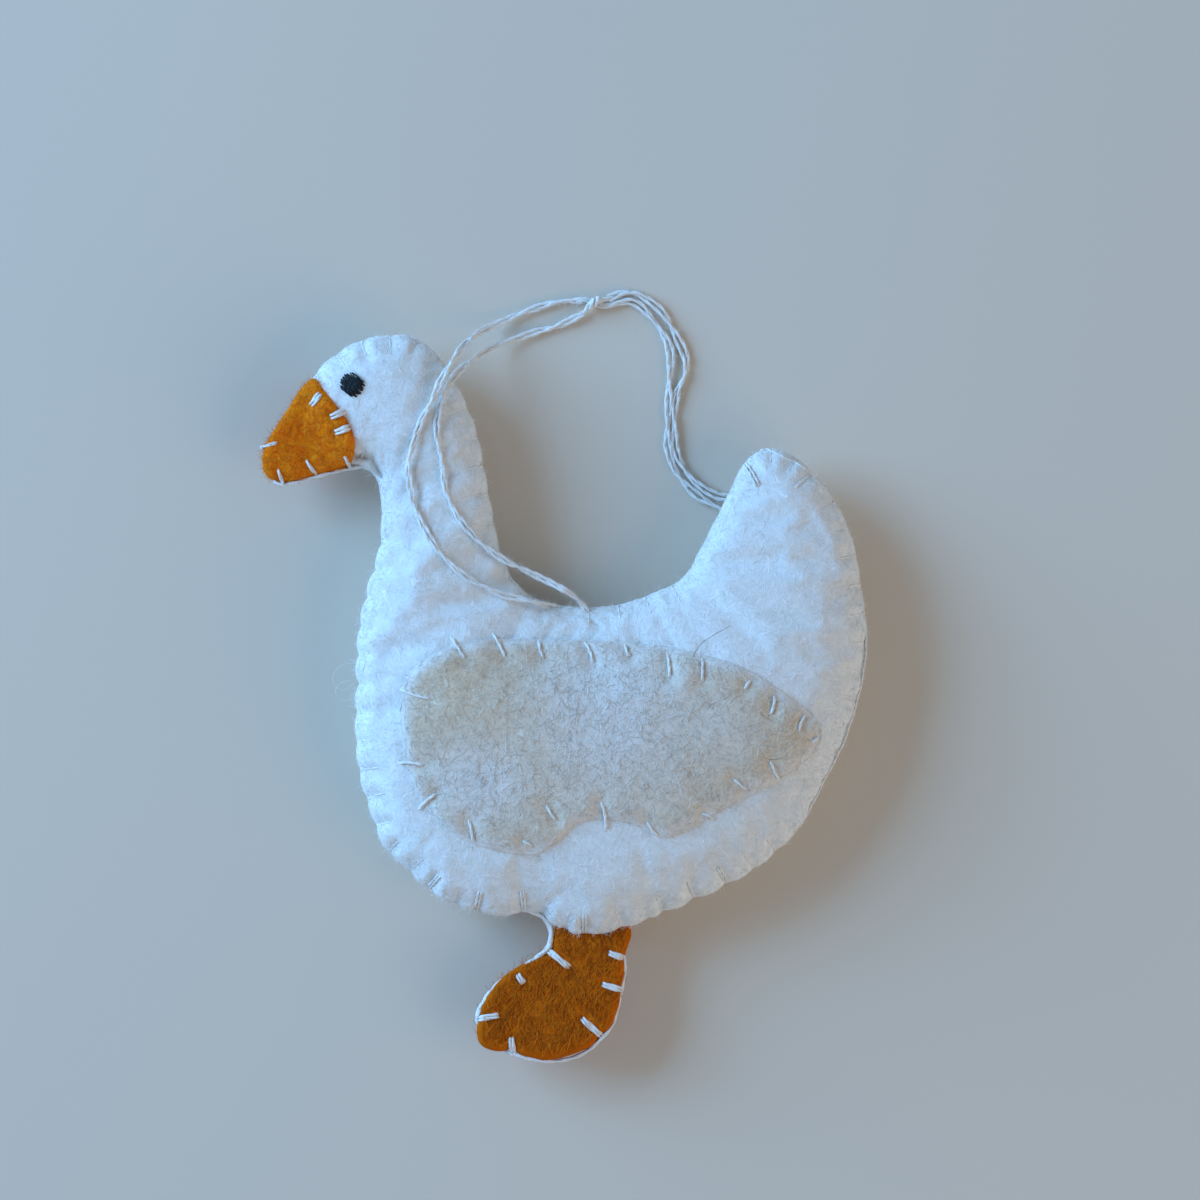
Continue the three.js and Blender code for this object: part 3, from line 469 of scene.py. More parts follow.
def swell_shares(spots):
    """How far the stuffing lifts each spot, from 0 at the seam to 1: a skin held all round its edge"""
    low = body_line.min(0) - 2 * SWELL_STEP
    columns, rows = np.ceil((body_line.max(0) - low) / SWELL_STEP).astype(int) + 2
    grid = np.array([(low[0] + i * SWELL_STEP, low[1] + j * SWELL_STEP)
                     for j in range(rows) for i in range(columns)])
    distance, _, inside = nearest_on(body_line, grid)
    free = (inside & (distance > FLAT_EDGE)).reshape(rows, columns)
    push = (SWELL_STEP / SWELL_REACH) ** 2
    skin = np.zeros((rows, columns))
    for _ in range(SWELL_ROUNDS):
        around = sum(np.roll(skin, shift, axis) for shift in (1, -1) for axis in (0, 1))
        skin = np.where(free, (around + push) / (4 + push), 0)
    skin = np.sqrt(skin / skin.max())
    place = (spots - low) / SWELL_STEP
    i, j = np.floor(place).astype(int).T
    u, v = (place - np.floor(place)).T
    return (skin[j, i] * (1 - u) * (1 - v) + skin[j, i + 1] * u * (1 - v)
            + skin[j + 1, i] * (1 - u) * v + skin[j + 1, i + 1] * u * v)


def inflated(spots, faces, rises):
    """Front and rear of the bag after its stuffing has pushed the felt out, found by cloth simulation"""
    count = len(spots)
    edge_count = len(body_line)
    start = {side: np.column_stack([spots, side * rises[side]]) for side in (FRONT, REAR)}
    turned = [tuple(i if i < edge_count else i + count - edge_count for i in face[::-1]) for face in faces]
    slack = {side: start[side] * (1, 1, SIM_START) for side in start}
    skin = np.vstack([slack[FRONT], slack[REAR][edge_count:]]) * BAG_SCALE
    mesh = bpy.data.meshes.new("bag")
    mesh.from_pydata(skin.tolist(), [], faces + turned)
    bag = add_object("bag", mesh)
    distance, along, _ = nearest_on(body_line, spots)
    off_stitch = np.abs(nearest_stitch(along)[1])
    under_stitch = (off_stitch < HELD_WIDTH) & (distance < STITCH_BITE + HELD_PAST_BITE)
    held = (distance < EDGE_ROWS[0] / 2) | under_stitch
    pinned = np.concatenate([np.flatnonzero(held), np.flatnonzero(held[edge_count:]) + count])
    bag.vertex_groups.new(name="held").add([int(i) for i in pinned], 1.0, "REPLACE")
    cloth = bag.modifiers.new("stuffing", "CLOTH")
    cloth.settings.quality = CLOTH_QUALITY
    cloth.settings.mass = CLOTH_MASS
    cloth.settings.use_pressure = True
    cloth.settings.uniform_pressure_force = PRESSURE
    cloth.settings.vertex_group_mass = "held"
    cloth.settings.shrink_min = -CLOTH_GROWTH
    cloth.settings.effector_weights.gravity = 0
    cloth.point_cache.frame_end = SIM_FRAMES
    for frame_number in range(1, SIM_FRAMES + 1):
        bpy.context.scene.frame_set(frame_number)
    pushed = points_of(plain_mesh_of(bag)) / BAG_SCALE
    bpy.context.scene.frame_set(1)
    found = {FRONT: pushed[:count], REAR: np.vstack([pushed[:edge_count], pushed[count:]])}
    for side in found:
        move = found[side] - start[side]
        length = np.linalg.norm(move, axis=1)[:, None]
        found[side] = start[side] + move * np.minimum(1, MOST_MOVE / np.maximum(length, 1e-9))
    return found


def sewn_edge(points, side):
    """The felt drawn in at its stitches: scallops, furrows under the thread, and needle dimples"""
    distance, along, inside = nearest_on(body_line, points[:, :2])
    distance = np.where(inside, distance, 0)
    number, off_stitch, cycle = nearest_stitch(along)
    vary = 1 + STITCH_VARIATION * np.sin(number * 2.4 + side) * np.cos(number * 5.3)
    press = vary * (HIDDEN_PULL_SHARE + SHOWN_PULL_SHARE * stitch_shows[number])
    bite = stitch_lengths[number]
    cusp = (1 - np.abs(np.sin(math.pi * np.abs(cycle)))) ** NOTCH_POINT
    nearest = np.searchsorted(edge_marks, along) % len(body_line)
    inward = -edge_outward[nearest]
    depth = NOTCH_DEPTH * vary * stitch_pulls[number]
    pull = (depth * cusp * np.exp(-(distance / NOTCH_REACH) ** 2))[:, None]
    drop = EDGE_DROP * (1 - np.sqrt(1 - (1 - np.minimum(distance / EDGE_ROUND, 1)) ** 2))
    furrow = np.exp(-(off_stitch / FURROW_WIDTH) ** 2) / (1 + np.exp((distance - bite) / FURROW_END))
    hole = np.exp(-(off_stitch ** 2 + (distance - bite) ** 2) / DIMPLE_WIDTH ** 2)
    puff = np.exp(-((distance - PUFF_INSET) / PUFF_WIDTH) ** 2) * np.sin(math.pi * np.abs(cycle)) ** 2
    puff *= stitch_pulls[number]
    lumps = LUMP_DEPTH * noise_at(points, LUMP_SIZE, 1 + side) + PILL_DEPTH * noise_at(points, PILL_SIZE, 4)
    lift = PUFF_HEIGHT * puff - drop - press * (FURROW_DEPTH * furrow + DIMPLE_DEPTH * hole)
    lift += lumps * np.minimum(distance / LUMP_FADE, 1)
    lift -= dents_at(points[:, :2], CHIN_FOLDS, CHIN_FOLD_DEPTH, FOLD_WIDTH)
    lift -= dents_at(points[:, :2], HANGER_FOLDS, HANGER_FOLD_DEPTH, FOLD_WIDTH)
    shaped = points.copy()
    shaped[:, :2] += inward * pull
    shaped[:, 2] += side * lift
    return shaped


def felt_material(name, finish):
    """Pressed wool felt: matted fibres of many directions over a mottled ground, dull, with a soft sheen"""
    material, tree, shader = new_material(name, {
        "Roughness": 0.93, "Specular IOR Level": 0.1, "Sheen Weight": 0.18, "Sheen Roughness": 0.55,
        "Sheen Tint": linear(finish["sheen"]),
    })
    place = add_node(tree, "ShaderNodeTexCoord").outputs["Object"]
    in_mm = add_node(tree, "ShaderNodeVectorMath", {0: place, 1: (1 / MM,) * 3}, operation="MULTIPLY")
    wander = add_node(tree, "ShaderNodeTexNoise", {"Vector": in_mm.outputs[0], "Scale": BENDS_PER_MM,
                                                   "Detail": 1.0})
    centred = add_node(tree, "ShaderNodeVectorMath", {0: wander.outputs["Color"], 1: NOISE_MIDDLE},
                       operation="SUBTRACT")
    pushed = add_node(tree, "ShaderNodeVectorMath", {
        0: centred.outputs[0], 1: (FIBRE_WANDER,) * 3, 2: in_mm.outputs[0]}, operation="MULTIPLY_ADD")
    fibres = None
    for turn in FIBRE_TURNS:
        turned = add_node(tree, "ShaderNodeMapping", {
            "Vector": pushed.outputs[0], "Rotation": (0, 0, math.radians(turn)), "Location": (turn, 0, 0),
            "Scale": (FIBRE_LENGTH, FIBRE_WIDTH, FIBRE_LENGTH),
        }, vector_type="TEXTURE")
        grain = add_node(tree, "ShaderNodeTexNoise", {
            "Vector": turned.outputs[0], "Scale": 1.0, "Detail": 1.5, "Roughness": 0.6})
        ridge = add_node(tree, "ShaderNodeMapRange", {
            "Value": grain.outputs["Fac"], "From Min": 0.55, "From Max": 0.75, "To Min": 0.0, "To Max": 1.0,
        })
        fibres = ridge if fibres is None else add_node(
            tree, "ShaderNodeMath", {0: fibres.outputs[0], 1: ridge.outputs[0]}, operation="MAXIMUM")
    mottle = add_node(tree, "ShaderNodeTexNoise", {
        "Vector": pushed.outputs[0], "Scale": PATCHES_PER_MM, "Detail": 3.0, "Roughness": 0.65})
    pills = add_node(tree, "ShaderNodeTexNoise", {"Vector": pushed.outputs[0], "Scale": PILLS_PER_MM,
                                                  "Detail": 2.0})
    tone = add_node(tree, "ShaderNodeMath", {0: mottle.outputs["Fac"], 1: pills.outputs["Fac"]},
                    operation="ADD")
    shade = add_node(tree, "ShaderNodeMapRange", {
        "Value": tone.outputs[0], "From Min": 0.72, "From Max": 1.28, "To Min": 0.5 - finish["mottle"],
        "To Max": 0.5 + finish["mottle"],
    })
    ground = add_node(tree, "ShaderNodeMix", {0: shade.outputs[0], 6: linear(finish["dark"]),
                                              7: linear(finish["light"])}, data_type="RGBA")
    share = add_node(tree, "ShaderNodeMath", {0: fibres.outputs[0], 1: finish["fibre_share"]},
                     operation="MULTIPLY")
    matted = add_node(tree, "ShaderNodeMix", {0: share.outputs[0], 6: ground.outputs[2],
                                              7: linear(finish["fibre"])}, data_type="RGBA")
    # Paler where the sheet is marked: at its cut edge, and on the wing in patches of painted sheen
    rim = add_node(tree, "ShaderNodeAttribute", attribute_name="rim")
    final = add_node(tree, "ShaderNodeMix", {0: rim.outputs["Fac"], 6: matted.outputs[2],
                                             7: linear(finish["rim"])}, data_type="RGBA")
    height = add_node(tree, "ShaderNodeMath", {
        0: pills.outputs["Fac"], 1: PILL_HEIGHT_SHARE, 2: fibres.outputs[0]}, operation="MULTIPLY_ADD")
    bump = add_node(tree, "ShaderNodeBump", {"Height": height.outputs[0], "Distance": finish["depth"],
                                             "Strength": 1.0})
    tree.links.new(final.outputs[2], shader.inputs["Base Color"])
    tree.links.new(bump.outputs[0], shader.inputs["Normal"])
    return material


stitch_marks, stitch_lengths, stitch_shows, stitch_pulls = placed_stitches()
net_spots, net_faces = felt_net(body_line, NET_SPACING, EDGE_ROWS)
net_faces = counter_faces(net_spots, net_faces)
lift_shares = swell_shares(net_spots)
bag_faces = inflated(net_spots, net_faces, {
    FRONT: FRONT_SWELL * lift_shares, REAR: np.minimum(FRONT_SWELL * lift_shares, BACK_SWELL),
})
# Bleached wool, wetted and pressed: pale fibres that cross every way, and no gloss
ivory_felt = felt_material("pressed_wool_felt_ivory", IVORY)
body_panels = {}
body_skin = {}
for side, panel_name, node_name in (
    (FRONT, "ivory_front_panel", "body_panel_front"), (REAR, "ivory_back_panel", "body_panel_back"),
):
    panel_points, panel_faces = smoothed_once(panel_name, bag_faces[side], net_faces)
    panel_points[:, 2] += SEAM_Z + side * (SEAM_GAP / 2 + FELT)
    outer = sewn_edge(panel_points, side)
    outer_lift = np.maximum((outer[:, 2] - SEAM_Z) * side, LEAST_LIFT)
    outer[:, 2] = np.maximum(SEAM_Z + side * outer_lift, LEAST_HEIGHT)
    inner = outer.copy()
    inner[:, 2] = SEAM_Z + side * np.maximum(outer_lift - FELT, INNER_GAP)
    body_skin[side] = BVHTree.FromPolygons(outer.tolist(), panel_faces)
    panel_mesh = closed_sheet(panel_name, outer, inner, panel_faces, side)
    mark_rim(panel_mesh, nearest_on(body_line, outer[:, :2])[0], IVORY_RIM_SHARE, IVORY_RIM_WIDTH)
    body_panels[side] = add_object(panel_name, panel_mesh, ivory_felt)
    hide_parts(node_name)
    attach(body_panels[side], "goose")

# Wool stuffing. One soft wad of carded wool fills the bag, from the head to the tail and belly. Nothing
# holds it but the two panels that close round it.
STUFFING_INSET = 3.4 * MM
# The wad's edge keeps the points that are this share of its inset from the body's edge
STUFFING_KEPT_SHARE = 0.98
STUFFING_CLEARANCE = 0.25 * MM
STUFFING_SPACING = 2.2 * MM
STUFFING_EDGE_ROWS = (0.8 * MM,)
LEAST_STUFFING = 0.08 * MM
# Farther from the seam than any piece reaches
ABOVE_ALL = 20 * MM
WOOL = {"dark": "d6cfc0", "light": "f0ebdf", "fibre": "f8f4ea", "sheen": "ffffff", "rim": "f0ebdf",
        "fibre_share": 0.8, "mottle": 0.5, "depth": 0.3 * MM}


def skin_height(side, x, y):
    """The height of the body's own surface at a spot, or the seam's height beside the body"""
    start = Vector((x, y, SEAM_Z + side * ABOVE_ALL))
    hit = body_skin[side].ray_cast(start, Vector((0, 0, -side)))[0]
    return SEAM_Z if hit is None else hit.z


wad_line = body_line - edge_outward * STUFFING_INSET
wad_depth, _, wad_inside = nearest_on(body_line, wad_line)
wad_kept = wad_inside & (wad_depth > STUFFING_KEPT_SHARE * STUFFING_INSET)
wad_line = evenly_spaced(wad_line[wad_kept], True, STUFFING_SPACING)
wad_spots, wad_faces = felt_net(wad_line, STUFFING_SPACING, STUFFING_EDGE_ROWS)
wad_skins = []
for side in (FRONT, REAR):
    lifts = np.array([(skin_height(side, x, y) - SEAM_Z) * side for x, y in wad_spots])
    wad_skins.append(SEAM_Z + side * np.maximum(lifts - FELT - STUFFING_CLEARANCE, LEAST_STUFFING))
wad_mesh = closed_sheet("wool_stuffing", np.column_stack([wad_spots, wad_skins[0]]),
                        np.column_stack([wad_spots, wad_skins[1]]), wad_faces, FRONT)
# Carded wool: loose and creamy, with deep coarse fibres
stuffing = add_object("wool_stuffing", wad_mesh, felt_material("carded_wool_stuffing", WOOL))
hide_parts("belly_stuffing", "neck_stuffing", "tail_stuffing")
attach(stuffing, "goose")

# Body seam. Off-white cotton thread of two plies goes round the edge in a blanket stitch: a spoke on each
# face from the edge to a needle hole, and a run along the edge from each spoke to the next.
THREAD = 0.42 * MM
PLY_PITCH = 2.6 * MM
PLY_RADIUS_SHARE = 0.34
PLY_OFFSET_SHARE = 0.16
THREAD_STEP = 0.28 * MM
THREAD_SUNK = 0.5 * MM
RUN_STEP = 0.4 * MM
FINE_STEP = 0.2 * MM
# A spoke's points from its needle hole to the edge, and how proud the thread lies, hidden and shown
SPOKE_SHARES = (1.06, 1.0, 0.72, 0.4, 0.12)
SPOKE_HEIGHTS = (-0.42, 0.6)
SPOKE_OUT_SHARE = 0.4
# A stitch that shows more than this is sewn twice, with this gap between its threads
DOUBLE_SHOWN = 0.8
DOUBLE_GAP = 0.36 * MM
# The run along the edge: how far out it lies, as a share of the thread, and how it sags and waves
EDGE_RUN_OUT_SHARE = 0.3
EDGE_RUN_SAG = 0.15 * MM
EDGE_RUN_WAVE = 0.25 * MM
EDGE_RUN_WAVES = 2.1
EDGE_RUN_STRIDE = 3
# Runs of the seam thread that show on the front of the tail, as places in mm, and how proud they lie
EDGE_RUNS_SEEN = (
    ((26.8, 34.8), (27.6, 33.4), (28.7, 31.5)), ((27.2, 35.1), (28.1, 33.5), (29.1, 31.7)),
    ((29.2, 37.2), (30.3, 37.1), (32.8, 35.9), (35.0, 34.8), (37.2, 33.0)),
)
SEEN_RUN_PROUD = 0.17 * MM
# The stretch of the tail's outer edge where the run along it stands off the felt: from and to, in mm
LOOSE_RUN_FROM = (45.0, 12.5)
LOOSE_RUN_TO = (35.0, -18.5)
LOOSE_RUN_OUT = 0.03 * MM
LOOSE_RUN_RISE = 1.0 * MM
LOOSE_RUN_EASE = 4 * MM
THREAD_COLOURS = {"dark": "e6e3dc", "light": "f7f5f0"}
# The streaks of the cotton's own fibres, drawn coarser than real ones so that they show
STREAKS_PER_MM = 3.2
CLUMPS_PER_MM = 0.4
FIBRE_DEPTH = 0.05 * MM
# The stretch of the edge that the beak covers, as shares of the edge, where this seam leaves off
BEAK_GAP = (0.835, 0.905)


def tree_inputs(tree, wanted):
    """Adds a tree's sockets by name and kind, and gives its group input node"""
    tree.interface.new_socket("Geometry", in_out="OUTPUT", socket_type="NodeSocketGeometry")
    for name, kind in wanted:
        tree.interface.new_socket(name, in_out="INPUT", socket_type="NodeSocket" + kind)
    return tree.nodes.new("NodeGroupInput").outputs


def finish_tree(tree, geometry_socket, material_socket):
    """Ends a tree: smooth faces, real geometry and its material"""
    smooth = add_node(tree, "GeometryNodeSetShadeSmooth", {"Geometry": geometry_socket})
    real = add_node(tree, "GeometryNodeRealizeInstances", {"Geometry": smooth.outputs[0]})
    dressed = add_node(tree, "GeometryNodeSetMaterial", {
        "Geometry": real.outputs[0], "Material": material_socket})
    add_node(tree, "NodeGroupOutput", {0: dressed.outputs[0]})


def grown(name, base_mesh, tree, values, material):
    """A piece that a geometry tree makes on a mesh, as a plain mesh of its own"""
    source = bpy.data.objects.new(name + "_base", base_mesh)
    bpy.context.scene.collection.objects.link(source)
    modifier = source.modifiers.new("grow", "NODES")
    modifier.node_group = tree
    for socket in tree.interface.items_tree:
        if socket.in_out == "INPUT" and socket.name in values:
            modifier[socket.identifier] = values[socket.name]
        if socket.in_out == "INPUT" and socket.name == "Material":
            modifier[socket.identifier] = material
    mesh = plain_mesh_of(source)
    mesh.name = name
    return add_object(name, mesh)


def make_thread_tree():
    """Twists plies round every line of the mesh that it is put on, as a spinner plies yarn"""
    tree = bpy.data.node_groups.new("plied_thread", "GeometryNodeTree")
    given = tree_inputs(tree, (
        ("Geometry", "Geometry"), ("Step", "Float"), ("Plies", "Int"), ("Ply radius", "Float"),
        ("Ply offset", "Float"), ("Ply pitch", "Float"), ("Sides", "Int"), ("Material", "Material"),
    ))
    line = add_node(tree, "GeometryNodeMeshToCurve", {"Mesh": given["Geometry"]})
    even = add_node(tree, "GeometryNodeResampleCurve", {"Curve": line.outputs[0], "Length": given["Step"]},
                    mode="LENGTH")
    plies = add_node(tree, "GeometryNodeDuplicateElements", {
        "Geometry": even.outputs[0], "Amount": given["Plies"]}, domain="SPLINE")
    normal = add_node(tree, "GeometryNodeInputNormal")
    tangent = add_node(tree, "GeometryNodeInputTangent")
    across = add_node(tree, "ShaderNodeVectorMath", {0: tangent.outputs[0], 1: normal.outputs[0]},
                      operation="CROSS_PRODUCT")
    run = add_node(tree, "GeometryNodeSplineParameter")
    turns = add_node(tree, "ShaderNodeMath", {0: run.outputs["Length"], 1: given["Ply pitch"]},
                     operation="DIVIDE")
    place = add_node(tree, "ShaderNodeMath", {0: plies.outputs["Duplicate Index"], 1: given["Plies"]},
                     operation="DIVIDE")
    sum_turns = add_node(tree, "ShaderNodeMath", {0: turns.outputs[0], 1: place.outputs[0]})
    angle = add_node(tree, "ShaderNodeMath", {0: sum_turns.outputs[0], 1: math.tau}, operation="MULTIPLY")
    offsets = []
    for direction, wave in ((normal, "COSINE"), (across, "SINE")):
        share = add_node(tree, "ShaderNodeMath", {0: angle.outputs[0]}, operation=wave)
        length = add_node(tree, "ShaderNodeMath", {0: share.outputs[0], 1: given["Ply offset"]},
                          operation="MULTIPLY")
        offsets.append(add_node(tree, "ShaderNodeVectorMath", {
            0: direction.outputs[0], "Scale": length.outputs[0]}, operation="SCALE"))
    offset = add_node(tree, "ShaderNodeVectorMath", {0: offsets[0].outputs[0], 1: offsets[1].outputs[0]})
    twisted = add_node(tree, "GeometryNodeSetPosition", {
        "Geometry": plies.outputs["Geometry"], "Offset": offset.outputs[0]})
    ring = add_node(tree, "GeometryNodeCurvePrimitiveCircle", {
        "Resolution": given["Sides"], "Radius": given["Ply radius"]}, mode="RADIUS")
    tube = add_node(tree, "GeometryNodeCurveToMesh", {
        "Curve": twisted.outputs[0], "Profile Curve": ring.outputs[0], "Fill Caps": True})
    finish_tree(tree, tube.outputs[0], given["Material"])
    return tree


thread_tree = make_thread_tree()


def rounded(points, times=2):
    """An open line with its corners cut, so that a thread bends round them"""
    points = np.asarray(points, float)
    for _ in range(times):
        near = 0.75 * points[:-1] + 0.25 * points[1:]
        far = 0.25 * points[:-1] + 0.75 * points[1:]
        points = np.vstack([points[:1], np.stack([near, far], 1).reshape(-1, points.shape[1]), points[-1:]])
    return points


def spin_thread(name, runs, thickness, material, pitch=PLY_PITCH, plies=2, sides=6):
    """A thread of twisted plies along each run"""
    mesh = bpy.data.meshes.new(name + "_line")
    starts = np.cumsum([0] + [len(run) for run in runs])
    edges = [(int(s) + i, int(s) + i + 1) for s, run in zip(starts, runs) for i in range(len(run) - 1)]
    mesh.from_pydata(np.vstack(runs).tolist(), edges, [])
    return grown(name, mesh, thread_tree, {
        "Step": THREAD_STEP, "Plies": plies, "Ply radius": thickness * PLY_RADIUS_SHARE,
        "Ply offset": thickness * PLY_OFFSET_SHARE, "Ply pitch": pitch, "Sides": sides,
    }, material)


def thread_material(name, colours, gloss):
    """Spun fibre: matt, with a fine streak along the ply and a faint halo"""
    material, tree, shader = new_material(name, {
        "Roughness": 0.8 - 0.4 * gloss, "Specular IOR Level": 0.15 + 0.3 * gloss,
        "Sheen Weight": 0.1 * (1 - gloss), "Sheen Roughness": 0.5,
    })
    place = add_node(tree, "ShaderNodeTexCoord").outputs["Object"]
    streak = add_node(tree, "ShaderNodeTexNoise", {"Vector": place, "Scale": STREAKS_PER_MM / MM,
                                                   "Detail": 2.0})
    clumps = add_node(tree, "ShaderNodeTexNoise", {"Vector": place, "Scale": CLUMPS_PER_MM / MM,
                                                   "Detail": 2.0})
    both = add_node(tree, "ShaderNodeMath", {0: streak.outputs["Fac"], 1: clumps.outputs["Fac"]},
                    operation="ADD")
    share = add_node(tree, "ShaderNodeMapRange", {"Value": both.outputs[0], "From Min": 0.75,
                                                  "From Max": 1.25})
    shade = add_node(tree, "ShaderNodeMix", {0: share.outputs[0], 6: linear(colours["dark"]),
                                             7: linear(colours["light"])}, data_type="RGBA")
    bump = add_node(tree, "ShaderNodeBump", {"Height": streak.outputs["Fac"], "Distance": FIBRE_DEPTH})
    tree.links.new(shade.outputs[2], shader.inputs["Base Color"])
    tree.links.new(bump.outputs[0], shader.inputs["Normal"])
    return material


# Plied cotton: off-white and matt, each ply with fine streaks along it
cotton = thread_material("plied_cotton_thread", THREAD_COLOURS, gloss=0.1)


def blanket_stitch(place, outward, length, show, shift):
    """A spoke over the edge, from a hole in one face to a hole in the other"""
    along = np.array((outward[1], -outward[0])) * shift
    lifts = THREAD * (SPOKE_HEIGHTS[0] + (SPOKE_HEIGHTS[1] - SPOKE_HEIGHTS[0]) * show)
    path = []
    for side, shares in ((FRONT, SPOKE_SHARES), (REAR, SPOKE_SHARES[::-1])):
        for share in shares:
            x, y = place - outward * length * share + along
            lift = -THREAD_SUNK if share > 1 else lifts
            path.append((x, y, skin_height(side, x, y) + side * lift))
        if side == FRONT:
            for z in (SEAM_Z + THREAD / 2, SEAM_Z, SEAM_Z - THREAD / 2):
                path.append((*(place + outward * THREAD * SPOKE_OUT_SHARE + along), z))
    return rounded(path)


fine_line = evenly_spaced(body_line, True, FINE_STEP)
fine_outward = outward_of(fine_line)
seam_runs = []
for number in range(stitch_count):
    share = stitch_marks[number] / body_edge_length
    if BEAK_GAP[0] < share < BEAK_GAP[1]:
        continue
    i = round(share * len(fine_line)) % len(fine_line)
    place = fine_line[i] - fine_outward[i] * NOTCH_DEPTH * stitch_pulls[number]
    shifts = (-DOUBLE_GAP / 2, DOUBLE_GAP / 2) if stitch_shows[number] > DOUBLE_SHOWN else (0,)
    seam_runs += [blanket_stitch(place, fine_outward[i], stitch_lengths[number], stitch_shows[number], shift)
                  for shift in shifts]
loose_from, loose_to = nearest_on(body_line, np.array((LOOSE_RUN_FROM, LOOSE_RUN_TO)) * MM)[1]
edge_run = []
for step in range(len(fine_line)):
    i = (step + round(BEAK_GAP[1] * len(fine_line))) % len(fine_line)
    share = i / len(fine_line)
    if BEAK_GAP[0] < share < BEAK_GAP[1]:
        continue
    run_place = share * body_edge_length
    number, _, cycle = nearest_stitch(np.array([run_place]))
    off = 2 * abs(cycle[0])
    notch = NOTCH_DEPTH * stitch_pulls[number[0]] * (1 - off) ** NOTCH_POINT
    out = THREAD * EDGE_RUN_OUT_SHARE - notch - EDGE_RUN_SAG * off
    wave = EDGE_RUN_WAVE * math.sin(share * stitch_count * EDGE_RUN_WAVES)
    loose = min(1, max(0, min(run_place - loose_from, loose_to - run_place) / LOOSE_RUN_EASE))
    spot = fine_line[i] + fine_outward[i] * (out + LOOSE_RUN_OUT * loose)
    edge_run.append((*spot, SEAM_Z + wave + LOOSE_RUN_RISE * loose))
seam_runs.append(rounded(edge_run[::EDGE_RUN_STRIDE], 1))
for route in EDGE_RUNS_SEEN:
    line = evenly_spaced(smooth_line(np.array(route) * MM, False), False, RUN_STEP)
    run = []
    for x, y in line:
        place, normal = body_skin[FRONT].find_nearest(Vector((x, y, skin_height(FRONT, x, y))))[:2]
        run.append(place + normal * math.copysign(SEEN_RUN_PROUD, normal.z))
    run = np.array(run)
    run[[0, -1], 2] -= THREAD
    seam_runs.append(rounded(run, 1))
seam_thread = spin_thread("body_blanket_stitch", seam_runs, THREAD, cotton, sides=5)
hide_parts("body_seam_thread")
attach(seam_thread, "goose")

# Hanger. One doubled cotton thread goes in below the back, lies over the neck in two legs, is knotted,
# and goes on as a loop under the tail and back. Each leg is two threads side by side, 1.1 mm across.
LEG_A_ROUTE = (
    (42.2, 47.6, 11.0), (41.0, 49.4, 10.8), (39.0, 51.1, 10.3), (36.3, 52.7, 9.8), (33.0, 54.4, 10.0),
    (29.5, 56.1, 10.7), (26.1, 58.4, 11.0), (23.5, 61.4, 11.4), (21.4, 65.2, 11.6), (20.3, 69.4, 11.6),
    (19.5, 73.4, 11.4), (19.5, 77.1, 11.2), (20.3, 80.5, 10.9), (21.5, 82.8, 10.1), (23.0, 84.7, 8.4),
    (25.3, 86.8, 5.0), (28.9, 88.7, 1.9), (33.3, 90.3, 0.7), (38.2, 91.9, 0.6), (41.2, 93.4, 0.9),
)
LEG_B_ROUTE = (
    (37.1, 48.9, 9.4), (34.7, 49.5, 10.6), (31.6, 50.3, 11.1), (28.5, 51.1, 11.6), (25.2, 52.7, 11.8),
    (22.1, 55.0, 12.3), (19.1, 58.3, 12.3), (16.8, 62.6, 11.7), (15.5, 66.9, 11.3), (15.3, 71.2, 11.7),
    (16.7, 75.7, 12.0), (18.6, 79.8, 11.8), (20.5, 83.7, 11.2), (21.6, 85.9, 9.8), (23.2, 88.0, 7.6),
    (25.0, 90.0, 4.2), (28.2, 91.7, 1.5), (32.4, 93.6, 0.7), (36.8, 94.9, 0.6), (41.1, 95.3, 0.9),
)
LOOP_ROUTE = (
    (45.0, 95.8, 0.8), (47.0, 96.7, 0.6), (49.8, 96.4, 0.6), (52.3, 94.9, 0.6), (54.3, 92.6, 0.6),
    (55.7, 89.8, 0.6), (57.0, 86.9, 0.6), (56.9, 84.2, 0.6), (55.7, 81.8, 0.6), (55.4, 78.9, 0.6),
    (55.4, 75.6, 0.6), (55.5, 72.7, 0.6), (56.8, 70.1, 0.6), (59.0, 67.6, 0.6), (61.8, 66.1, 0.6),
    (64.6, 66.0, 0.6), (67.4, 65.9, 0.6), (69.4, 64.3, 0.6), (69.2, 62.1, 0.6), (67.2, 61.0, 0.6),
    (64.7, 61.9, 0.6), (61.9, 63.7, 0.6), (59.0, 65.2, 0.6), (56.6, 67.2, 0.6), (54.7, 69.6, 0.6),
    (53.9, 72.5, 0.6), (53.8, 75.6, 0.6), (53.9, 79.2, 0.6), (54.0, 82.6, 0.6), (54.2, 85.6, 0.6),
    (54.0, 88.4, 0.6), (52.7, 91.2, 0.6), (50.8, 93.4, 0.6), (48.6, 94.8, 0.6), (46.8, 94.7, 0.7),
    (45.1, 94.1, 0.8),
)
STRAND = 0.6 * MM
STRAND_PITCH = 16 * MM
STRAND_PLY_PITCH = 4.2 * MM
# How far the two strands lie to each side of their cord's line, and how they wander round each other
LEG_SPREAD = 0.32 * MM
LOOP_SPREAD = 0.42 * MM
LOOP_LEAN = 0.28 * MM
STRAND_RISE = 0.14 * MM
STRAND_WANDER = 1.6
STRAND_WANDER_LENGTH = 7 * MM
SPREAD_WANDER_SHARE = 0.3
SPREAD_WANDER_LENGTH = 5 * MM
STRAND_UNLIKENESS = 40 * MM
CORD_STEP = 0.5 * MM
LEG_CLEARANCE = 0.24 * MM
LEG_SETTLING = 6
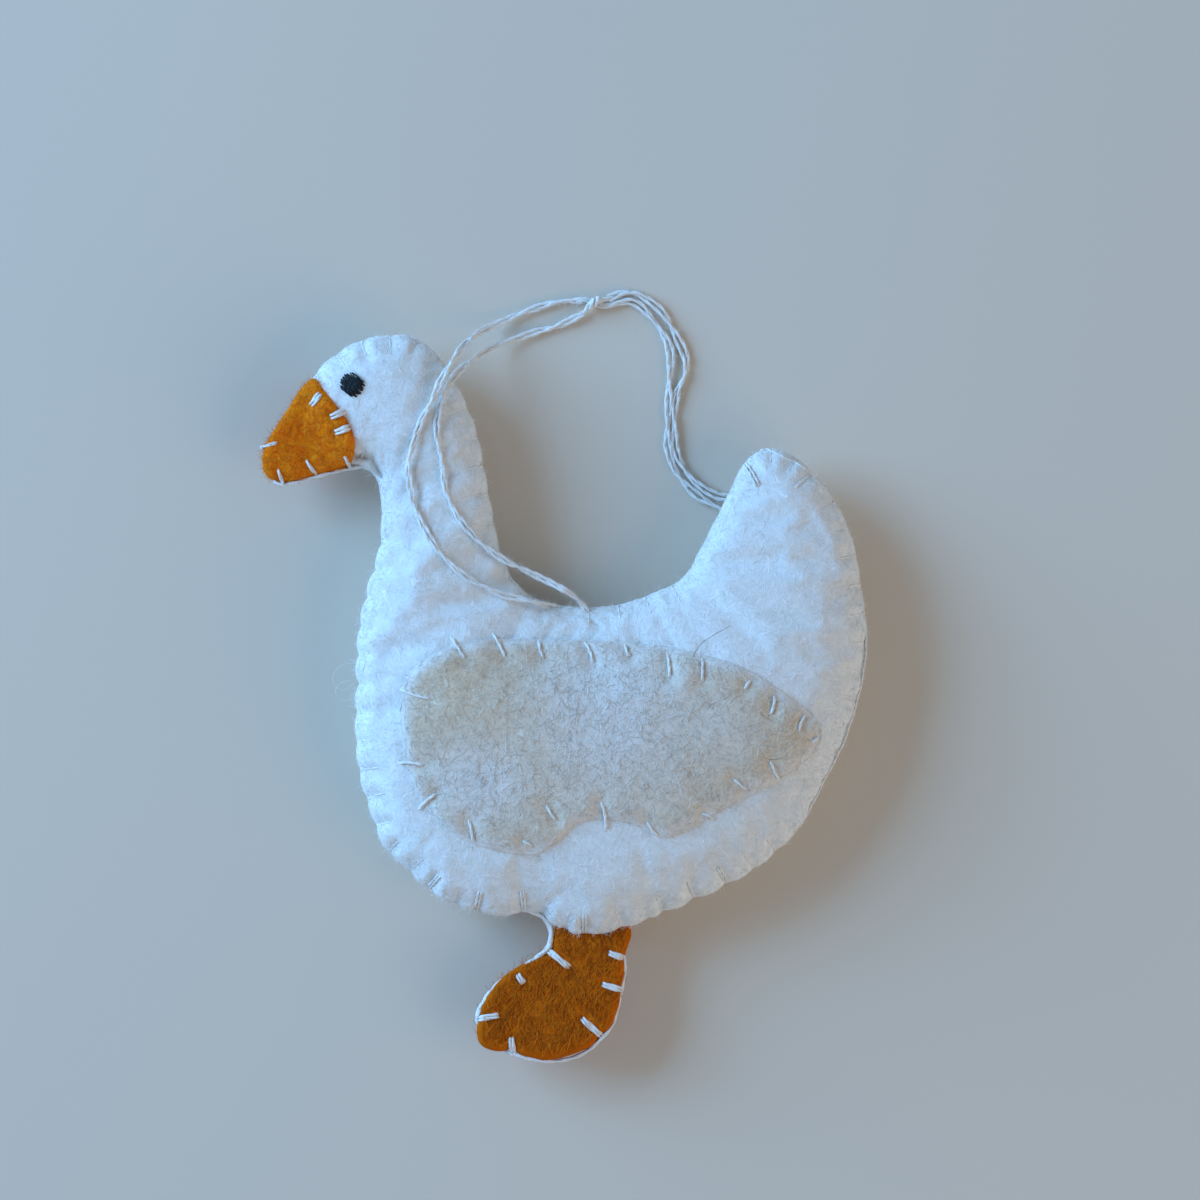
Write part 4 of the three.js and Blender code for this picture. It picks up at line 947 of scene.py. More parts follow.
# How far from its start each leg is inside the felt, how deep its start is, and how it comes up
FRONT_LEG_SUNK = (5.6 * MM, 3.0 * MM)
REAR_LEG_SUNK = (3.4 * MM, 1.6 * MM)
SUNK_CURVE = 0.8


def cord_path(route, sunk):
    """The hanger's own line through its route, in metres, lying on the body where it crosses it"""
    points = np.array(route) * MM + (*CORNER, 0)
    path = evenly_spaced(smooth_line(points, False), False, CORD_STEP)
    if sunk:
        below = np.array([skin_height(FRONT, x, y) for x, y in path[:, :2]])
        floor = np.where(below == SEAM_Z, 0, below + LEG_CLEARANCE)
        for _ in range(LEG_SETTLING):
            heights = np.maximum(path[:, 2], floor)
            path[:, 2] = heights
            path[1:-1, 2] = (heights[:-2] + 2 * heights[1:-1] + heights[2:]) / 4
        sunk_length, sunk_depth = sunk
        from_hole = np.minimum(line_lengths(path) / sunk_length, 1)
        path[:, 2] -= sunk_depth * (1 - from_hole) ** SUNK_CURVE
    return path


def bundle(path, spread, lean, seed):
    """Two strands that wander loosely round one path, flattened as they lie"""
    along = np.gradient(path, axis=0)
    along /= np.linalg.norm(along, axis=1)[:, None]
    level = np.cross(along, (0, 0, 1))
    level /= np.maximum(np.linalg.norm(level, axis=1)[:, None], 1e-9)
    upper = np.cross(level, along)
    lengths = line_lengths(path)
    strands = []
    for share in (0, 0.5):
        spots = np.column_stack([lengths, lengths * 0 + share * STRAND_UNLIKENESS, lengths * 0])
        wander = STRAND_WANDER * noise_at(spots, STRAND_WANDER_LENGTH, seed)
        angle = math.tau * (lengths / STRAND_PITCH + share) + wander
        loose = 1 + SPREAD_WANDER_SHARE * noise_at(spots, SPREAD_WANDER_LENGTH, seed + 3)
        sideways = lean + spread * np.cos(angle) * loose
        strands.append(path + level * sideways[:, None] + upper * (STRAND_RISE * np.sin(angle))[:, None])
    return strands


hanger_pieces = {}
for name, node_name, route, length, end, sunk, spread, lean in (
    ("hanger_leg_front", "hanger_leg_a", LEG_A_ROUTE, 72.6 * MM, "knot", FRONT_LEG_SUNK, LEG_SPREAD, 0),
    ("hanger_leg_rear", "hanger_leg_b", LEG_B_ROUTE, 77.6 * MM, "knot", REAR_LEG_SUNK, LEG_SPREAD, 0),
    ("hanger_long_loop", "hanger_loop", LOOP_ROUTE, 100.9 * MM, "object", None, LOOP_SPREAD, LOOP_LEAN),
):
    path = cord_path(route, sunk)
    strands = bundle(path, spread, lean, len(hanger_pieces) + 2)
    piece = spin_thread(name, [rounded(strand, 1) for strand in strands], STRAND, cotton, STRAND_PLY_PITCH)
    hanger_pieces[name] = piece
    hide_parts(node_name)
    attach(piece, "goose")

# Hanger knot. The two legs and the loop are tied together in one overhand knot of the same thread,
# pulled tight, that lies on the table.
KNOT_RUNS = (
    ((40.6, 93.1, 0.8), (41.5, 93.7, 0.9), (42.1, 94.7, 1.3), (43.1, 95.2, 1.3), (44.3, 95.4, 1.0),
     (45.6, 95.8, 0.7)),
    ((40.4, 95.2, 0.8), (41.6, 95.5, 1.0), (42.6, 95.1, 0.8), (43.5, 94.7, 0.9), (44.5, 94.5, 0.9),
     (45.5, 94.6, 0.7)),
)
KNOT_MIDDLE = np.array((42.9, 94.9, 1.15)) * MM
KNOT_TURNS = 1.4
KNOT_RADIUS = 0.78 * MM
KNOT_LENGTH = 0.9 * MM
KNOT_STRAND_GAP = 0.34 * MM
KNOT_POINTS = 40
# The wraps slant, and their ends draw in, sharply at the last
KNOT_SLANT_SHARE = 0.35
KNOT_DRAWN_SHARE = 0.55
KNOT_DRAWN_POWER = 6
KNOT_SHIFT_SHARE = 0.7
KNOT_TIGHTNESS = 0.9

knot_lines = [evenly_spaced(smooth_line(np.array(run) * MM, False), False, FINE_STEP) for run in KNOT_RUNS]
wrap = np.linspace(0, 1, KNOT_POINTS)
wrap_angle = math.tau * KNOT_TURNS * wrap
wrap_radius = KNOT_RADIUS * (1 - KNOT_DRAWN_SHARE * np.abs(2 * wrap - 1) ** KNOT_DRAWN_POWER)
wrap_across = wrap_radius * np.cos(wrap_angle)
wrap_along = KNOT_LENGTH * (wrap - 0.5) + KNOT_SLANT_SHARE * wrap_across
knot_lines.append(KNOT_MIDDLE + np.column_stack([wrap_along, wrap_across, wrap_radius * np.sin(wrap_angle)]))
knot_runs = []
for line in knot_lines:
    for shift in (-KNOT_STRAND_GAP / 2, KNOT_STRAND_GAP / 2):
        strand = line + (*CORNER, 0) + (KNOT_SHIFT_SHARE * shift, shift, 0)
        strand[:, 2] = np.maximum(strand[:, 2], STRAND / 2)
        knot_runs.append(strand)
knot = spin_thread("hanger_overhand_knot", knot_runs, STRAND * KNOT_TIGHTNESS, cotton, STRAND_PLY_PITCH)
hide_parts("hanger_knot")
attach(knot, "goose")

# Anchor stitch. Where both legs begin, the same cotton thread runs on through the body below the back,
# and so holds the hanger.
ANCHOR_LOW = np.array((0.4, 10.6, 3.6)) * MM
ANCHOR_HIGH = np.array((3.4, 12.3, 8.2)) * MM
ANCHOR_SIDE = np.array((-1.6, 13.2, 7.8)) * MM

anchor_runs = [evenly_spaced(np.array((end, (end + ANCHOR_LOW) / 2, ANCHOR_LOW)), False, CORD_STEP)
               for end in (ANCHOR_HIGH, ANCHOR_SIDE)]
anchor = spin_thread("hanger_anchor_thread", anchor_runs, STRAND, cotton, STRAND_PLY_PITCH)
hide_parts("hanger_anchor_stitch")
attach(anchor, "goose")

# Wings. A bean-shaped patch of oatmeal wool felt lies on each face and is held by whip stitches of fine
# off-white thread, which go over its edge and pull it down. The one below is taken to be the same.
WING_CORNER_SHARE = np.array((0.168, 0.137))
WING_LENGTH = 62.9 * MM
WING_WIDTH = 32.0 * MM
WING_OUTLINE_SHARES = (
    (0.000, 0.714), (0.024, 0.845), (0.091, 0.944), (0.186, 0.995), (0.305, 1.000), (0.449, 0.995),
    (0.592, 0.972), (0.723, 0.925), (0.819, 0.859), (0.914, 0.742), (0.979, 0.638), (1.000, 0.549),
    (0.969, 0.446), (0.914, 0.362), (0.831, 0.277), (0.747, 0.192), (0.675, 0.108), (0.616, 0.075),
    (0.558, 0.131), (0.484, 0.160), (0.420, 0.141), (0.377, 0.066), (0.317, 0.000), (0.234, 0.014),
    (0.143, 0.075), (0.072, 0.192), (0.024, 0.338), (0.005, 0.526),
)
# Each stitch from hole to hole, in mm
WING_STITCHES = (
    (-17.1, 9.3, -15.0, 6.0), (-10.9, 9.8, -9.0, 6.2), (-4.0, 8.6, -3.3, 6.0), (2.9, 8.4, 4.1, 5.3),
    (8.9, 8.0, 9.6, 6.3), (15.2, 6.5, 15.5, 3.2), (20.4, 6.0, 20.3, 2.6), (27.5, 2.7, 26.7, 1.5),
    (31.1, 0.5, 30.5, -2.3), (35.7, -2.4, 34.8, -4.8), (37.6, -5.7, 36.7, -6.4), (30.5, -9.3, 31.7, -12.0),
    (25.1, -12.0, 26.9, -13.5), (20.4, -17.1, 21.9, -17.9), (12.2, -18.3, 13.7, -20.4),
    (5.3, -15.3, 6.0, -19.5), (-2.8, -15.8, -1.5, -18.0), (-6.3, -21.2, -5.1, -21.9),
    (-14.4, -18.0, -13.8, -21.3), (-19.2, -14.1, -21.9, -16.5), (-24.9, -9.6, -21.1, -9.9),
    (-24.6, 1.4, -20.1, 0.0),
)
WING_THICK = 0.9 * MM
WING_SPACING = 0.7 * MM
WING_LINE_STEP = 0.6 * MM
WING_EDGE_ROUND = 2.2 * MM
WING_THREAD = 0.48 * MM
WING_BOW = 0.2 * MM
# A patch's net has rows near its edge. It thins to a share of its thickness there, and tucks under.
PATCH_ROW_SHARES = np.array((0.25, 0.6, 1.1))
PATCH_THIN_SHARE = 0.16
PATCH_SETTLING = 30
PATCH_LUMPS = ((0.1 * MM, 4.5 * MM), (0.05 * MM, 1.2 * MM))
EDGE_TUCK = 0.3 * MM
OUTER_TUCK_WIDTH = 0.5 * MM
INNER_TUCK_WIDTH = 0.8 * MM
LEAST_PATCH = 0.12 * MM
# The least heights of a patch's two faces over the table
LOWEST_OUTER = 0.12 * MM
LOWEST_INNER = 0.2 * MM
# How a stitch pulls the felt down along its whole length
STITCH_DENT = 0.55 * MM
STITCH_DENT_WIDTH = 1.2 * MM
# A whip stitch: how proud it lies, how deep it dives at its holes, and how far past them it ends
STITCH_POINTS = 9
WHIP_SETTLING = 8
WHIP_PROUD_SHARE = 0.42
WHIP_SUNK_SHARE = 0.9
WHIP_DIVE = 0.5 * MM
WHIP_PAST_SHARE = 0.04
# Its palest colour is also the colour of the wing's painted sheen
OATMEAL = {"dark": "cbb191", "light": "e2caa9", "fibre": "f5e9d6", "sheen": "f2ebdf", "rim": "edeae5",
           "fibre_share": 0.65, "mottle": 0.4, "depth": 0.03 * MM}
# How pale the felt is at its cut edge and how far in, and patches of painted sheen on the wing, a pale
# highlight painted into its colour: middle and reach of each patch in mm, and its strength
EDGE_PALENESS = (0.5, 0.7 * MM)
WING_PALENESS = (0.8, 1.6 * MM)
WING_PAINTED_SHEEN = ((7.0, -1.0, 12.0, 15.0, 0.95), (22.0, -4.0, 7.0, 7.0, 0.5), (-25.0, 2.0, 4.0, 9.0, 0.3),
             (-13.0, -13.0, 9.0, 7.0, 0.85))


def settled(values, faces, floor, rounds):
    """Heights evened out over a net, as a sheet that lies over bumps, and never under the floor"""
    pairs = np.array([(a, b) for face in faces for a, b in zip(face, face[1:] + face[:1])])
    near = np.bincount(pairs[:, 0], minlength=len(values))
    for _ in range(rounds):
        around = np.bincount(pairs[:, 0], weights=values[pairs[:, 1]], minlength=len(values)) / near
        values = np.maximum((values + around) / 2, floor)
    return values


body_tops = {FRONT: [body_skin[FRONT]], REAR: [body_skin[REAR]]}


def top_height(side, x, y):
    """The height of whatever lies outermost on one face at a spot, or the seam's height beside it all"""
    heights = [SEAM_Z]
    for skin in body_tops[side]:
        hit = skin.ray_cast(Vector((x, y, SEAM_Z + side * ABOVE_ALL)), Vector((0, 0, -side)))[0]
        if hit is not None:
            heights.append(hit.z)
    return max(heights) if side == FRONT else min(heights)


def edge_rounding(distance, reach, least):
    """How thick a felt sheet is near its cut edge, as a share of its thickness further in"""
    return np.sqrt(np.maximum(least, 1 - (1 - np.minimum(distance / reach, 1)) ** 2))


def laid_patch(name, line, side, thickness, spacing, edge_round, stitches, material, seed,
               paleness=EDGE_PALENESS, painted_sheen=()):
    """A felt patch that lies on one face of the goose, thinned and rounded at its edge"""
    spots, faces = felt_net(line, spacing, PATCH_ROW_SHARES * spacing)
    faces = counter_faces(spots, faces)
    below = np.array([(top_height(side, x, y) - SEAM_Z) * side for x, y in spots])
    below = np.maximum(below, INNER_GAP)
    below = settled(below, faces, below, PATCH_SETTLING)
    distance, _, _ = nearest_on(line, spots)
    lying = np.column_stack([spots, below])
    lumps = sum(depth * noise_at(lying, size, seed) for depth, size in PATCH_LUMPS)
    thick = thickness * edge_rounding(distance, edge_round, PATCH_THIN_SHARE)
    thick -= EDGE_TUCK * np.exp(-(distance / OUTER_TUCK_WIDTH) ** 2)
    outer_lift = below + thick + lumps - dents_at(spots, stitches, STITCH_DENT, STITCH_DENT_WIDTH)
    outer_lift = np.maximum(outer_lift, below + LEAST_PATCH)
    outer = np.column_stack([spots, np.maximum(SEAM_Z + side * outer_lift, LOWEST_OUTER)])
    tucked = np.maximum(below - EDGE_TUCK * np.exp(-(distance / INNER_TUCK_WIDTH) ** 2), INNER_GAP)
    inner = np.column_stack([spots, np.maximum(SEAM_Z + side * tucked, LOWEST_INNER)])
    body_tops[side].append(BVHTree.FromPolygons(outer.tolist(), faces))
    mesh = closed_sheet(name, outer, inner, faces, side)
    mark_rim(mesh, distance, *paleness, spots, painted_sheen)
    return add_object(name, mesh, material)


def whip_run(side, x0, y0, x1, y1, thickness, bow=0.0, shift=0.0):
    """One stitch from hole to hole: sunk at its ends, and drawn tight over what lies between"""
    start, span = np.array((x0, y0)) * MM, np.array((x1 - x0, y1 - y0)) * MM
    across = np.array((-span[1], span[0])) / np.linalg.norm(span)
    shares = np.linspace(0, 1, STITCH_POINTS)
    places = start + shares[:, None] * span + ((bow * np.sin(math.pi * shares) + shift)[:, None] * across)
    lifts = np.array([(top_height(side, x, y) - SEAM_Z) * side for x, y in places])
    for _ in range(WHIP_SETTLING):
        lifts[1:-1] = np.maximum(lifts[1:-1], (lifts[:-2] + lifts[2:]) / 2)
    lifts += thickness * WHIP_PROUD_SHARE
    lifts[[0, -1]] -= thickness * WHIP_SUNK_SHARE
    past = span * WHIP_PAST_SHARE
    first = np.array([[*(places[0] - past), SEAM_Z + side * (lifts[0] - WHIP_DIVE)]])
    last = np.array([[*(places[-1] + past), SEAM_Z + side * (lifts[-1] - WHIP_DIVE)]])
    line = np.vstack([first, np.column_stack([places, SEAM_Z + side * lifts]), last])
    line[:, 2] = np.maximum(line[:, 2], thickness / 2)
    return rounded(line, 1)


# Undyed wool of mixed sheep: tan and grey fibres with pale ones among them, and a painted sheen in patches
oatmeal_felt = felt_material("pressed_wool_felt_oatmeal", OATMEAL)
wing_line = WING_OUTLINE_SHARES * np.array((WING_LENGTH, WING_WIDTH)) + WING_CORNER_SHARE * BODY_SIZE + CORNER
wing_line = evenly_spaced(smooth_line(wing_line, True), True, WING_LINE_STEP)
wings = {}
for side, place, patch_node, thread_node, panel in (
    (FRONT, "front", "wing_patch_front", "wing_thread_front", "ivory_front_panel"),
    (REAR, "back", "wing_patch_back", "wing_thread_back", "ivory_back_panel"),
):
    # The wing's felt is given patches of painted sheen, a highlight painted into its colour
    wing = laid_patch("oatmeal_wing_" + place, wing_line, side, WING_THICK, WING_SPACING, WING_EDGE_ROUND,
                      WING_STITCHES, oatmeal_felt, 11 + side, WING_PALENESS, WING_PAINTED_SHEEN)
    wings[side] = wing
    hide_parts(patch_node)
    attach(wing, "goose")
    runs = [whip_run(side, *stitch, WING_THREAD, bow=WING_BOW * uneven(number, 2.6))
            for number, stitch in enumerate(WING_STITCHES)]
    wing_thread = spin_thread("wing_whip_stitches_" + place, runs, WING_THREAD, cotton)
    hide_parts(thread_node)
    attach(wing_thread, "goose")

# Beak. Two pieces of orange wool felt take the front of the head between them. Three thick doubled
# stitches fix each to the head, and a blanket stitch closes them along the lower edge.
BEAK_CORNER_SHARE = np.array((-0.082, 0.756))
BEAK_SIZE = np.array((14.0, 15.5)) * MM
BEAK_OUTLINE_SHARES = (
    (0.559, 1.000), (0.667, 0.883), (0.806, 0.728), (0.946, 0.544), (1.000, 0.340), (0.935, 0.165),
    (0.710, 0.097), (0.462, 0.029), (0.226, 0.000), (0.054, 0.049), (0.000, 0.214), (0.054, 0.388),
    (0.151, 0.534), (0.280, 0.709), (0.409, 0.893),
)
BEAK_HEAD_STITCHES = ((-38.0, 43.9, -36.7, 45.5), (-35.0, 42.0, -33.1, 42.9), (-34.4, 39.7, -32.3, 40.5))
BEAK_EDGE_SPOKES = ((-43.1, 34.2, -42.5, 32.4), (-38.9, 35.6, -37.6, 33.7), (-33.1, 36.2, -32.4, 34.7))
BEAK_SIDE_STITCH = (-45.6, 37.6, -43.4, 38.2)
BEAK_EDGE_RUN = ((-43.9, 32.6), (-42.6, 32.1), (-37.5, 33.3), (-32.5, 34.5), (-29.6, 34.7), (-28.6, 33.9),
                 (-27.9, 32.8))
BEAK_THICK = 1.35 * MM
BEAK_SPACING = 0.45 * MM
BEAK_EDGE_ROUND = 0.9 * MM
BEAK_THREAD = 0.6 * MM
BEAK_DOUBLE_SHIFTS = (-0.25 * MM, 0.25 * MM)
# The two threads of the edge run: their heights above the seam, and how far the upper one leans in
BEAK_RUN_HEIGHTS = (-0.28 * MM, 0.3 * MM)
BEAK_RUN_LEAN = 0.4
# The stitch on the beak's side is pulled into the felt, so it stands this share of a thread proud
SIDE_STITCH_SHARE = -0.2
FLOSS_PITCH = 5 * MM
ORANGE = {"dark": "e65a00", "light": "ff8600", "fibre": "ffa824", "sheen": "ff9420", "rim": "fa880a",
          "fibre_share": 0.75, "mottle": 0.7, "depth": 0.08 * MM}

# Dyed wool, loosely pressed: bright orange with coarse lighter and darker fibres
orange_felt = felt_material("pressed_wool_felt_orange", ORANGE)
beak_line = smooth_line(BEAK_OUTLINE_SHARES * BEAK_SIZE + BEAK_CORNER_SHARE * BODY_SIZE + CORNER, True)
beak_line = evenly_spaced(beak_line, True, RUN_STEP)
beaks = {}
beak_seam_runs = []
beak_edge_runs = []
for side, place, node_name in ((FRONT, "front", "beak_patch_front"), (REAR, "back", "beak_patch_back")):
    beak = laid_patch("orange_beak_" + place, beak_line, side, BEAK_THICK, BEAK_SPACING, BEAK_EDGE_ROUND,
                      BEAK_HEAD_STITCHES + BEAK_EDGE_SPOKES, orange_felt, 21 + side)
    beaks[side] = beak
    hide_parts(node_name)
    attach(beak, "goose")
    for stitch in BEAK_HEAD_STITCHES:
        for shift in BEAK_DOUBLE_SHIFTS:
            beak_seam_runs.append(whip_run(side, *stitch, BEAK_THREAD, shift=shift))
    for stitch in BEAK_EDGE_SPOKES:
        beak_edge_runs.append(whip_run(side, *stitch, BEAK_THREAD))
    beak_edge_runs.append(whip_run(side, *BEAK_SIDE_STITCH, SIDE_STITCH_SHARE * BEAK_THREAD))
for height in BEAK_RUN_HEIGHTS:
    run = [(x * MM, y * MM - height * BEAK_RUN_LEAN, SEAM_Z + height) for x, y in BEAK_EDGE_RUN]
    beak_edge_runs.append(evenly_spaced(smooth_line(run, False), False, RUN_STEP))
for name, runs, node_name in (("beak_whip_stitches", beak_seam_runs, "beak_seam_thread"),
                              ("beak_blanket_stitch", beak_edge_runs, "beak_edge_thread")):
    beak_thread = spin_thread(name, runs, BEAK_THREAD, cotton, pitch=FLOSS_PITCH)
    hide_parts(node_name)
    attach(beak_thread, "goose")

# Eyes. A small block of satin stitch on each face: strands of dark blue-green cotton laid side by side,
# from hole to hole through the felt.
EYE_CENTRE = np.array((-31.9, 46.85)) * MM
EYE_LENGTH = 3.6 * MM
EYE_WIDTH = 3.0 * MM
EYE_TURN = math.radians(-38)
EYE_STRAND = 0.42 * MM
EYE_STRAND_PITCH_SHARE = 0.6
EYE_PLY_PITCH = 1.6 * MM
EYE_DOME = 0.42 * MM
EYE_DOME_LENGTHWAYS = 0.75
EYE_DOME_CROSSWAYS = 0.25
EYE_LIFT = 0.1 * MM
EYE_SUNK = 0.45 * MM
# The outer strands are shorter, and no two strands are quite alike in length, slant and height
EYE_TAPER_SHARE = 0.5
EYE_TAPER_POWER = 2.2
EYE_LENGTH_VARIATION = 0.05
EYE_SLANT = 0.1
EYE_HEIGHT_VARIATION = 0.04 * MM
EYE_COLOURS = {"dark": "010405", "light": "08161b"}

# Mercerised cotton: near black with a blue-green cast, and a slight gloss along each strand
dark_cotton = thread_material("mercerised_cotton_dark", EYE_COLOURS, gloss=0.55)
eye_along = np.array((math.cos(EYE_TURN), math.sin(EYE_TURN)))
eye_across = np.array((-eye_along[1], eye_along[0]))
for side, place, node_name in ((FRONT, "front", "eye_stitch_front"), (REAR, "back", "eye_stitch_back")):
    strands = []
    count = round(EYE_WIDTH / (EYE_STRAND * EYE_STRAND_PITCH_SHARE))
    for number in range(count):
        across = ((number + 0.5) / count - 0.5) * 2
        half = EYE_LENGTH / 2 * (1 - EYE_TAPER_SHARE * abs(across) ** EYE_TAPER_POWER)
        half *= 1 + EYE_LENGTH_VARIATION * uneven(number, 3.7)
        slant = eye_across * EYE_SLANT * uneven(number, 2.3)
        path = []
        for share in np.linspace(-1, 1, STITCH_POINTS):
            x, y = EYE_CENTRE + eye_across * across * EYE_WIDTH / 2 + (eye_along + slant) * half * share
            fall = EYE_DOME_LENGTHWAYS * share ** 2 + EYE_DOME_CROSSWAYS * across ** 2
            dome = EYE_DOME * math.sqrt(max(0, 1 - fall)) + EYE_HEIGHT_VARIATION * uneven(number, 4.1)
            sunk = EYE_SUNK if abs(share) == 1 else 0
            path.append((x, y, top_height(side, x, y) + side * (dome + EYE_LIFT - sunk)))
        strands.append(rounded(path, 1))
    eye = spin_thread("eye_satin_stitch_" + place, strands, EYE_STRAND, dark_cotton, pitch=EYE_PLY_PITCH)
    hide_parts(node_name)
    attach(eye, "goose")

# Foot. Two layers of orange wool felt, sewn together round the edge, whose top is caught between the body
# panels.
FOOT_SIZE = np.array((22.7, 18.6)) * MM
FOOT_CORNER = np.array((-13.15, -54.305)) * MM
FOOT_OUTLINE_SHARES = (
    (0.974, 0.863), (0.967, 0.702), (0.947, 0.500), (0.887, 0.298), (0.795, 0.153), (0.642, 0.056),
    (0.444, 0.000), (0.245, 0.056), (0.126, 0.097), (0.026, 0.177), (0.000, 0.339), (0.066, 0.532),
    (0.199, 0.702), (0.377, 0.823), (0.480, 0.880),
)
FOOT_TOP_SHARES = ((0.492, 0.960), (0.505, 1.040), (0.540, 1.170), (0.960, 1.170), (1.012, 1.020))
# Where the felt bulges out between two stitches or is drawn in by one: place, reach and width in mm
FOOT_BULGES = ((-11.4, -51.6, 0.9, 2.4), (-8.5, -53.3, -0.8, 0.9), (5.6, -51.0, -0.4, 1.0))
FOOT_MIDDLE_SHARES = (0.45, 0.4)
FOOT_SPOKES = (
    (-13.2, -48.1, -10.0, -47.5), (-2.9, -37.6, 0.6, -40.4), (-7.2, -41.5, -6.3, -42.7),
    (-8.2, -50.9, -7.9, -53.3), (2.4, -48.0, 5.4, -50.7), (5.5, -42.9, 8.3, -43.7), (6.5, -38.2, 8.5, -38.9),
)
FOOT_EDGE_RUN = (
    (-6.7, -31.6, 0.9), (-3.5, -32.9, 0.4), (-2.3, -34.9, 0.2), (-2.7, -37.4, 0.4), (-5.4, -39.6, 0.3),
    (-8.1, -41.4, 0.2), (-10.3, -43.0, 0.1), (-12.1, -45.2, 0.1), (-13.3, -48.1, 0.1), (-11.9, -50.6, -0.8),
    (-10.1, -52.3, -0.8), (-7.9, -53.4, 0.2), (-4.6, -54.3, 0.2), (-0.9, -54.4, -0.1), (2.4, -53.4, 0.0),
    (5.2, -51.1, 0.3), (6.9, -49.0, 0.0), (8.1, -44.6, 0.3), (8.6, -42.0, 0.1), (8.8, -39.9, 0.2),
    (8.5, -38.6, 0.4),
)
FOOT_THICK = 1.4 * MM
FOOT_EDGE_ROUND = 0.9 * MM
FOOT_THIN_SHARE = 0.12
LEAST_FOOT = 0.15 * MM
# The foot is pinched where the body holds it, and reaches its full thickness below that
FOOT_PINCH = 0.55 * MM
FOOT_PINCH_END = -35.0 * MM
FOOT_PINCH_REACH = 3.2 * MM
FOOT_SPACING = 0.5 * MM
FOOT_LINE_STEP = 0.45 * MM
FOOT_EDGE_ROWS = (0.12 * MM, 0.3 * MM, 0.6 * MM)
FOOT_DENT_SHARE = 0.8
FOOT_DENT_WIDTH = 0.9 * MM
FOOT_LUMPS = ((0.1 * MM, 3.5 * MM), (0.05 * MM, 1.1 * MM))
FOOT_PALENESS = (0.95, 1.1 * MM)
FOOT_DOUBLE_SHIFTS = (-0.22 * MM, 0.22 * MM)
FOOT_RUN_HEIGHTS = (-0.3 * MM, 0.3 * MM)
FOOT_RUN_LEAN = 0.3
# The foot's felt colours: the beak's orange made deeper, partly as painted shade
SHADED_ORANGE = {"dark": "8c3400", "light": "d06000", "fibre": "f88c14", "sheen": "e08018", "rim": "cc6200",
        "fibre_share": 0.6, "mottle": 0.6, "depth": 0.06 * MM}

# The beak's wool in a deeper rust, partly browner felt and partly painted shade, with long bright fibres
shaded_orange_felt = felt_material("pressed_wool_felt_orange_shaded", SHADED_ORANGE)
foot_line = smooth_line(np.array(FOOT_OUTLINE_SHARES + FOOT_TOP_SHARES) * FOOT_SIZE + FOOT_CORNER, True)
foot_outward = foot_line - (FOOT_CORNER + FOOT_SIZE * FOOT_MIDDLE_SHARES)
foot_outward /= np.linalg.norm(foot_outward, axis=1)[:, None]
for x, y, reach, width in FOOT_BULGES:
    nearness = np.linalg.norm(foot_line - np.array((x, y)) * MM, axis=1) / (width * MM)
    foot_line = foot_line + foot_outward * (reach * MM * np.exp(-nearness ** 2))[:, None]
foot_line = evenly_spaced(foot_line, True, FOOT_LINE_STEP)
foot_spots, foot_faces = felt_net(foot_line, FOOT_SPACING, FOOT_EDGE_ROWS)
foot_faces = counter_faces(foot_spots, foot_faces)
foot_distance, _, _ = nearest_on(foot_line, foot_spots)
foot_dents = dents_at(foot_spots, FOOT_SPOKES, STITCH_DENT * FOOT_DENT_SHARE, FOOT_DENT_WIDTH)
flat_points = np.column_stack([foot_spots, foot_spots[:, 0] * 0])
freed = np.clip((FOOT_PINCH_END - foot_spots[:, 1]) / FOOT_PINCH_REACH, 0, 1)
foot_lifts = FOOT_PINCH + (FOOT_THICK - FOOT_PINCH) * freed
foot_lifts *= edge_rounding(foot_distance, FOOT_EDGE_ROUND, FOOT_THIN_SHARE)
feet = {}
for side, place, node_names in ((FRONT, "front", ("foot_panel_front", "foot_tab")),
                                (REAR, "back", ("foot_panel_back",))):
    lumps = sum(depth * noise_at(flat_points, size, seed)
                for (depth, size), seed in zip(FOOT_LUMPS, (31 + side, 33)))
    lifts = np.maximum(foot_lifts + lumps - foot_dents, LEAST_FOOT)
    outer = np.column_stack([foot_spots, SEAM_Z + side * lifts])
    inner = np.column_stack([foot_spots, np.full(len(foot_spots), SEAM_Z + side * INNER_GAP)])
    body_tops[side].append(BVHTree.FromPolygons(outer.tolist(), foot_faces))
    layer_mesh = closed_sheet("orange_foot_" + place, outer, inner, foot_faces, side)
    mark_rim(layer_mesh, foot_distance, *FOOT_PALENESS)
    layer = add_object("orange_foot_" + place, layer_mesh, shaded_orange_felt)
    feet[side] = layer
    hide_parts(*node_names)
    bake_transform(layer)
foot_runs = [whip_run(side, *stitch, BEAK_THREAD, shift=shift) for side in (FRONT, REAR)
             for stitch in FOOT_SPOKES for shift in FOOT_DOUBLE_SHIFTS]
for height in FOOT_RUN_HEIGHTS:
    run = [(x * MM + height * FOOT_RUN_LEAN, y * MM, SEAM_Z + z * MM + height) for x, y, z in FOOT_EDGE_RUN]
    foot_runs.append(evenly_spaced(smooth_line(run, False), False, RUN_STEP))
foot_thread = spin_thread("foot_blanket_stitch", foot_runs, BEAK_THREAD, cotton, pitch=FLOSS_PITCH)
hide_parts("foot_edge_thread")
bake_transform(foot_thread)

# Nap. Loose wool fibres stand a little off every felt face and cloud its edges. Each is a fine curved
# hair rooted in the felt, drawn a bit thicker than a real one so that it shows.
HAIR_POINTS = 5
HAIR_SIDES = 3
HAIR_SIZES = (0.45, 1.5)
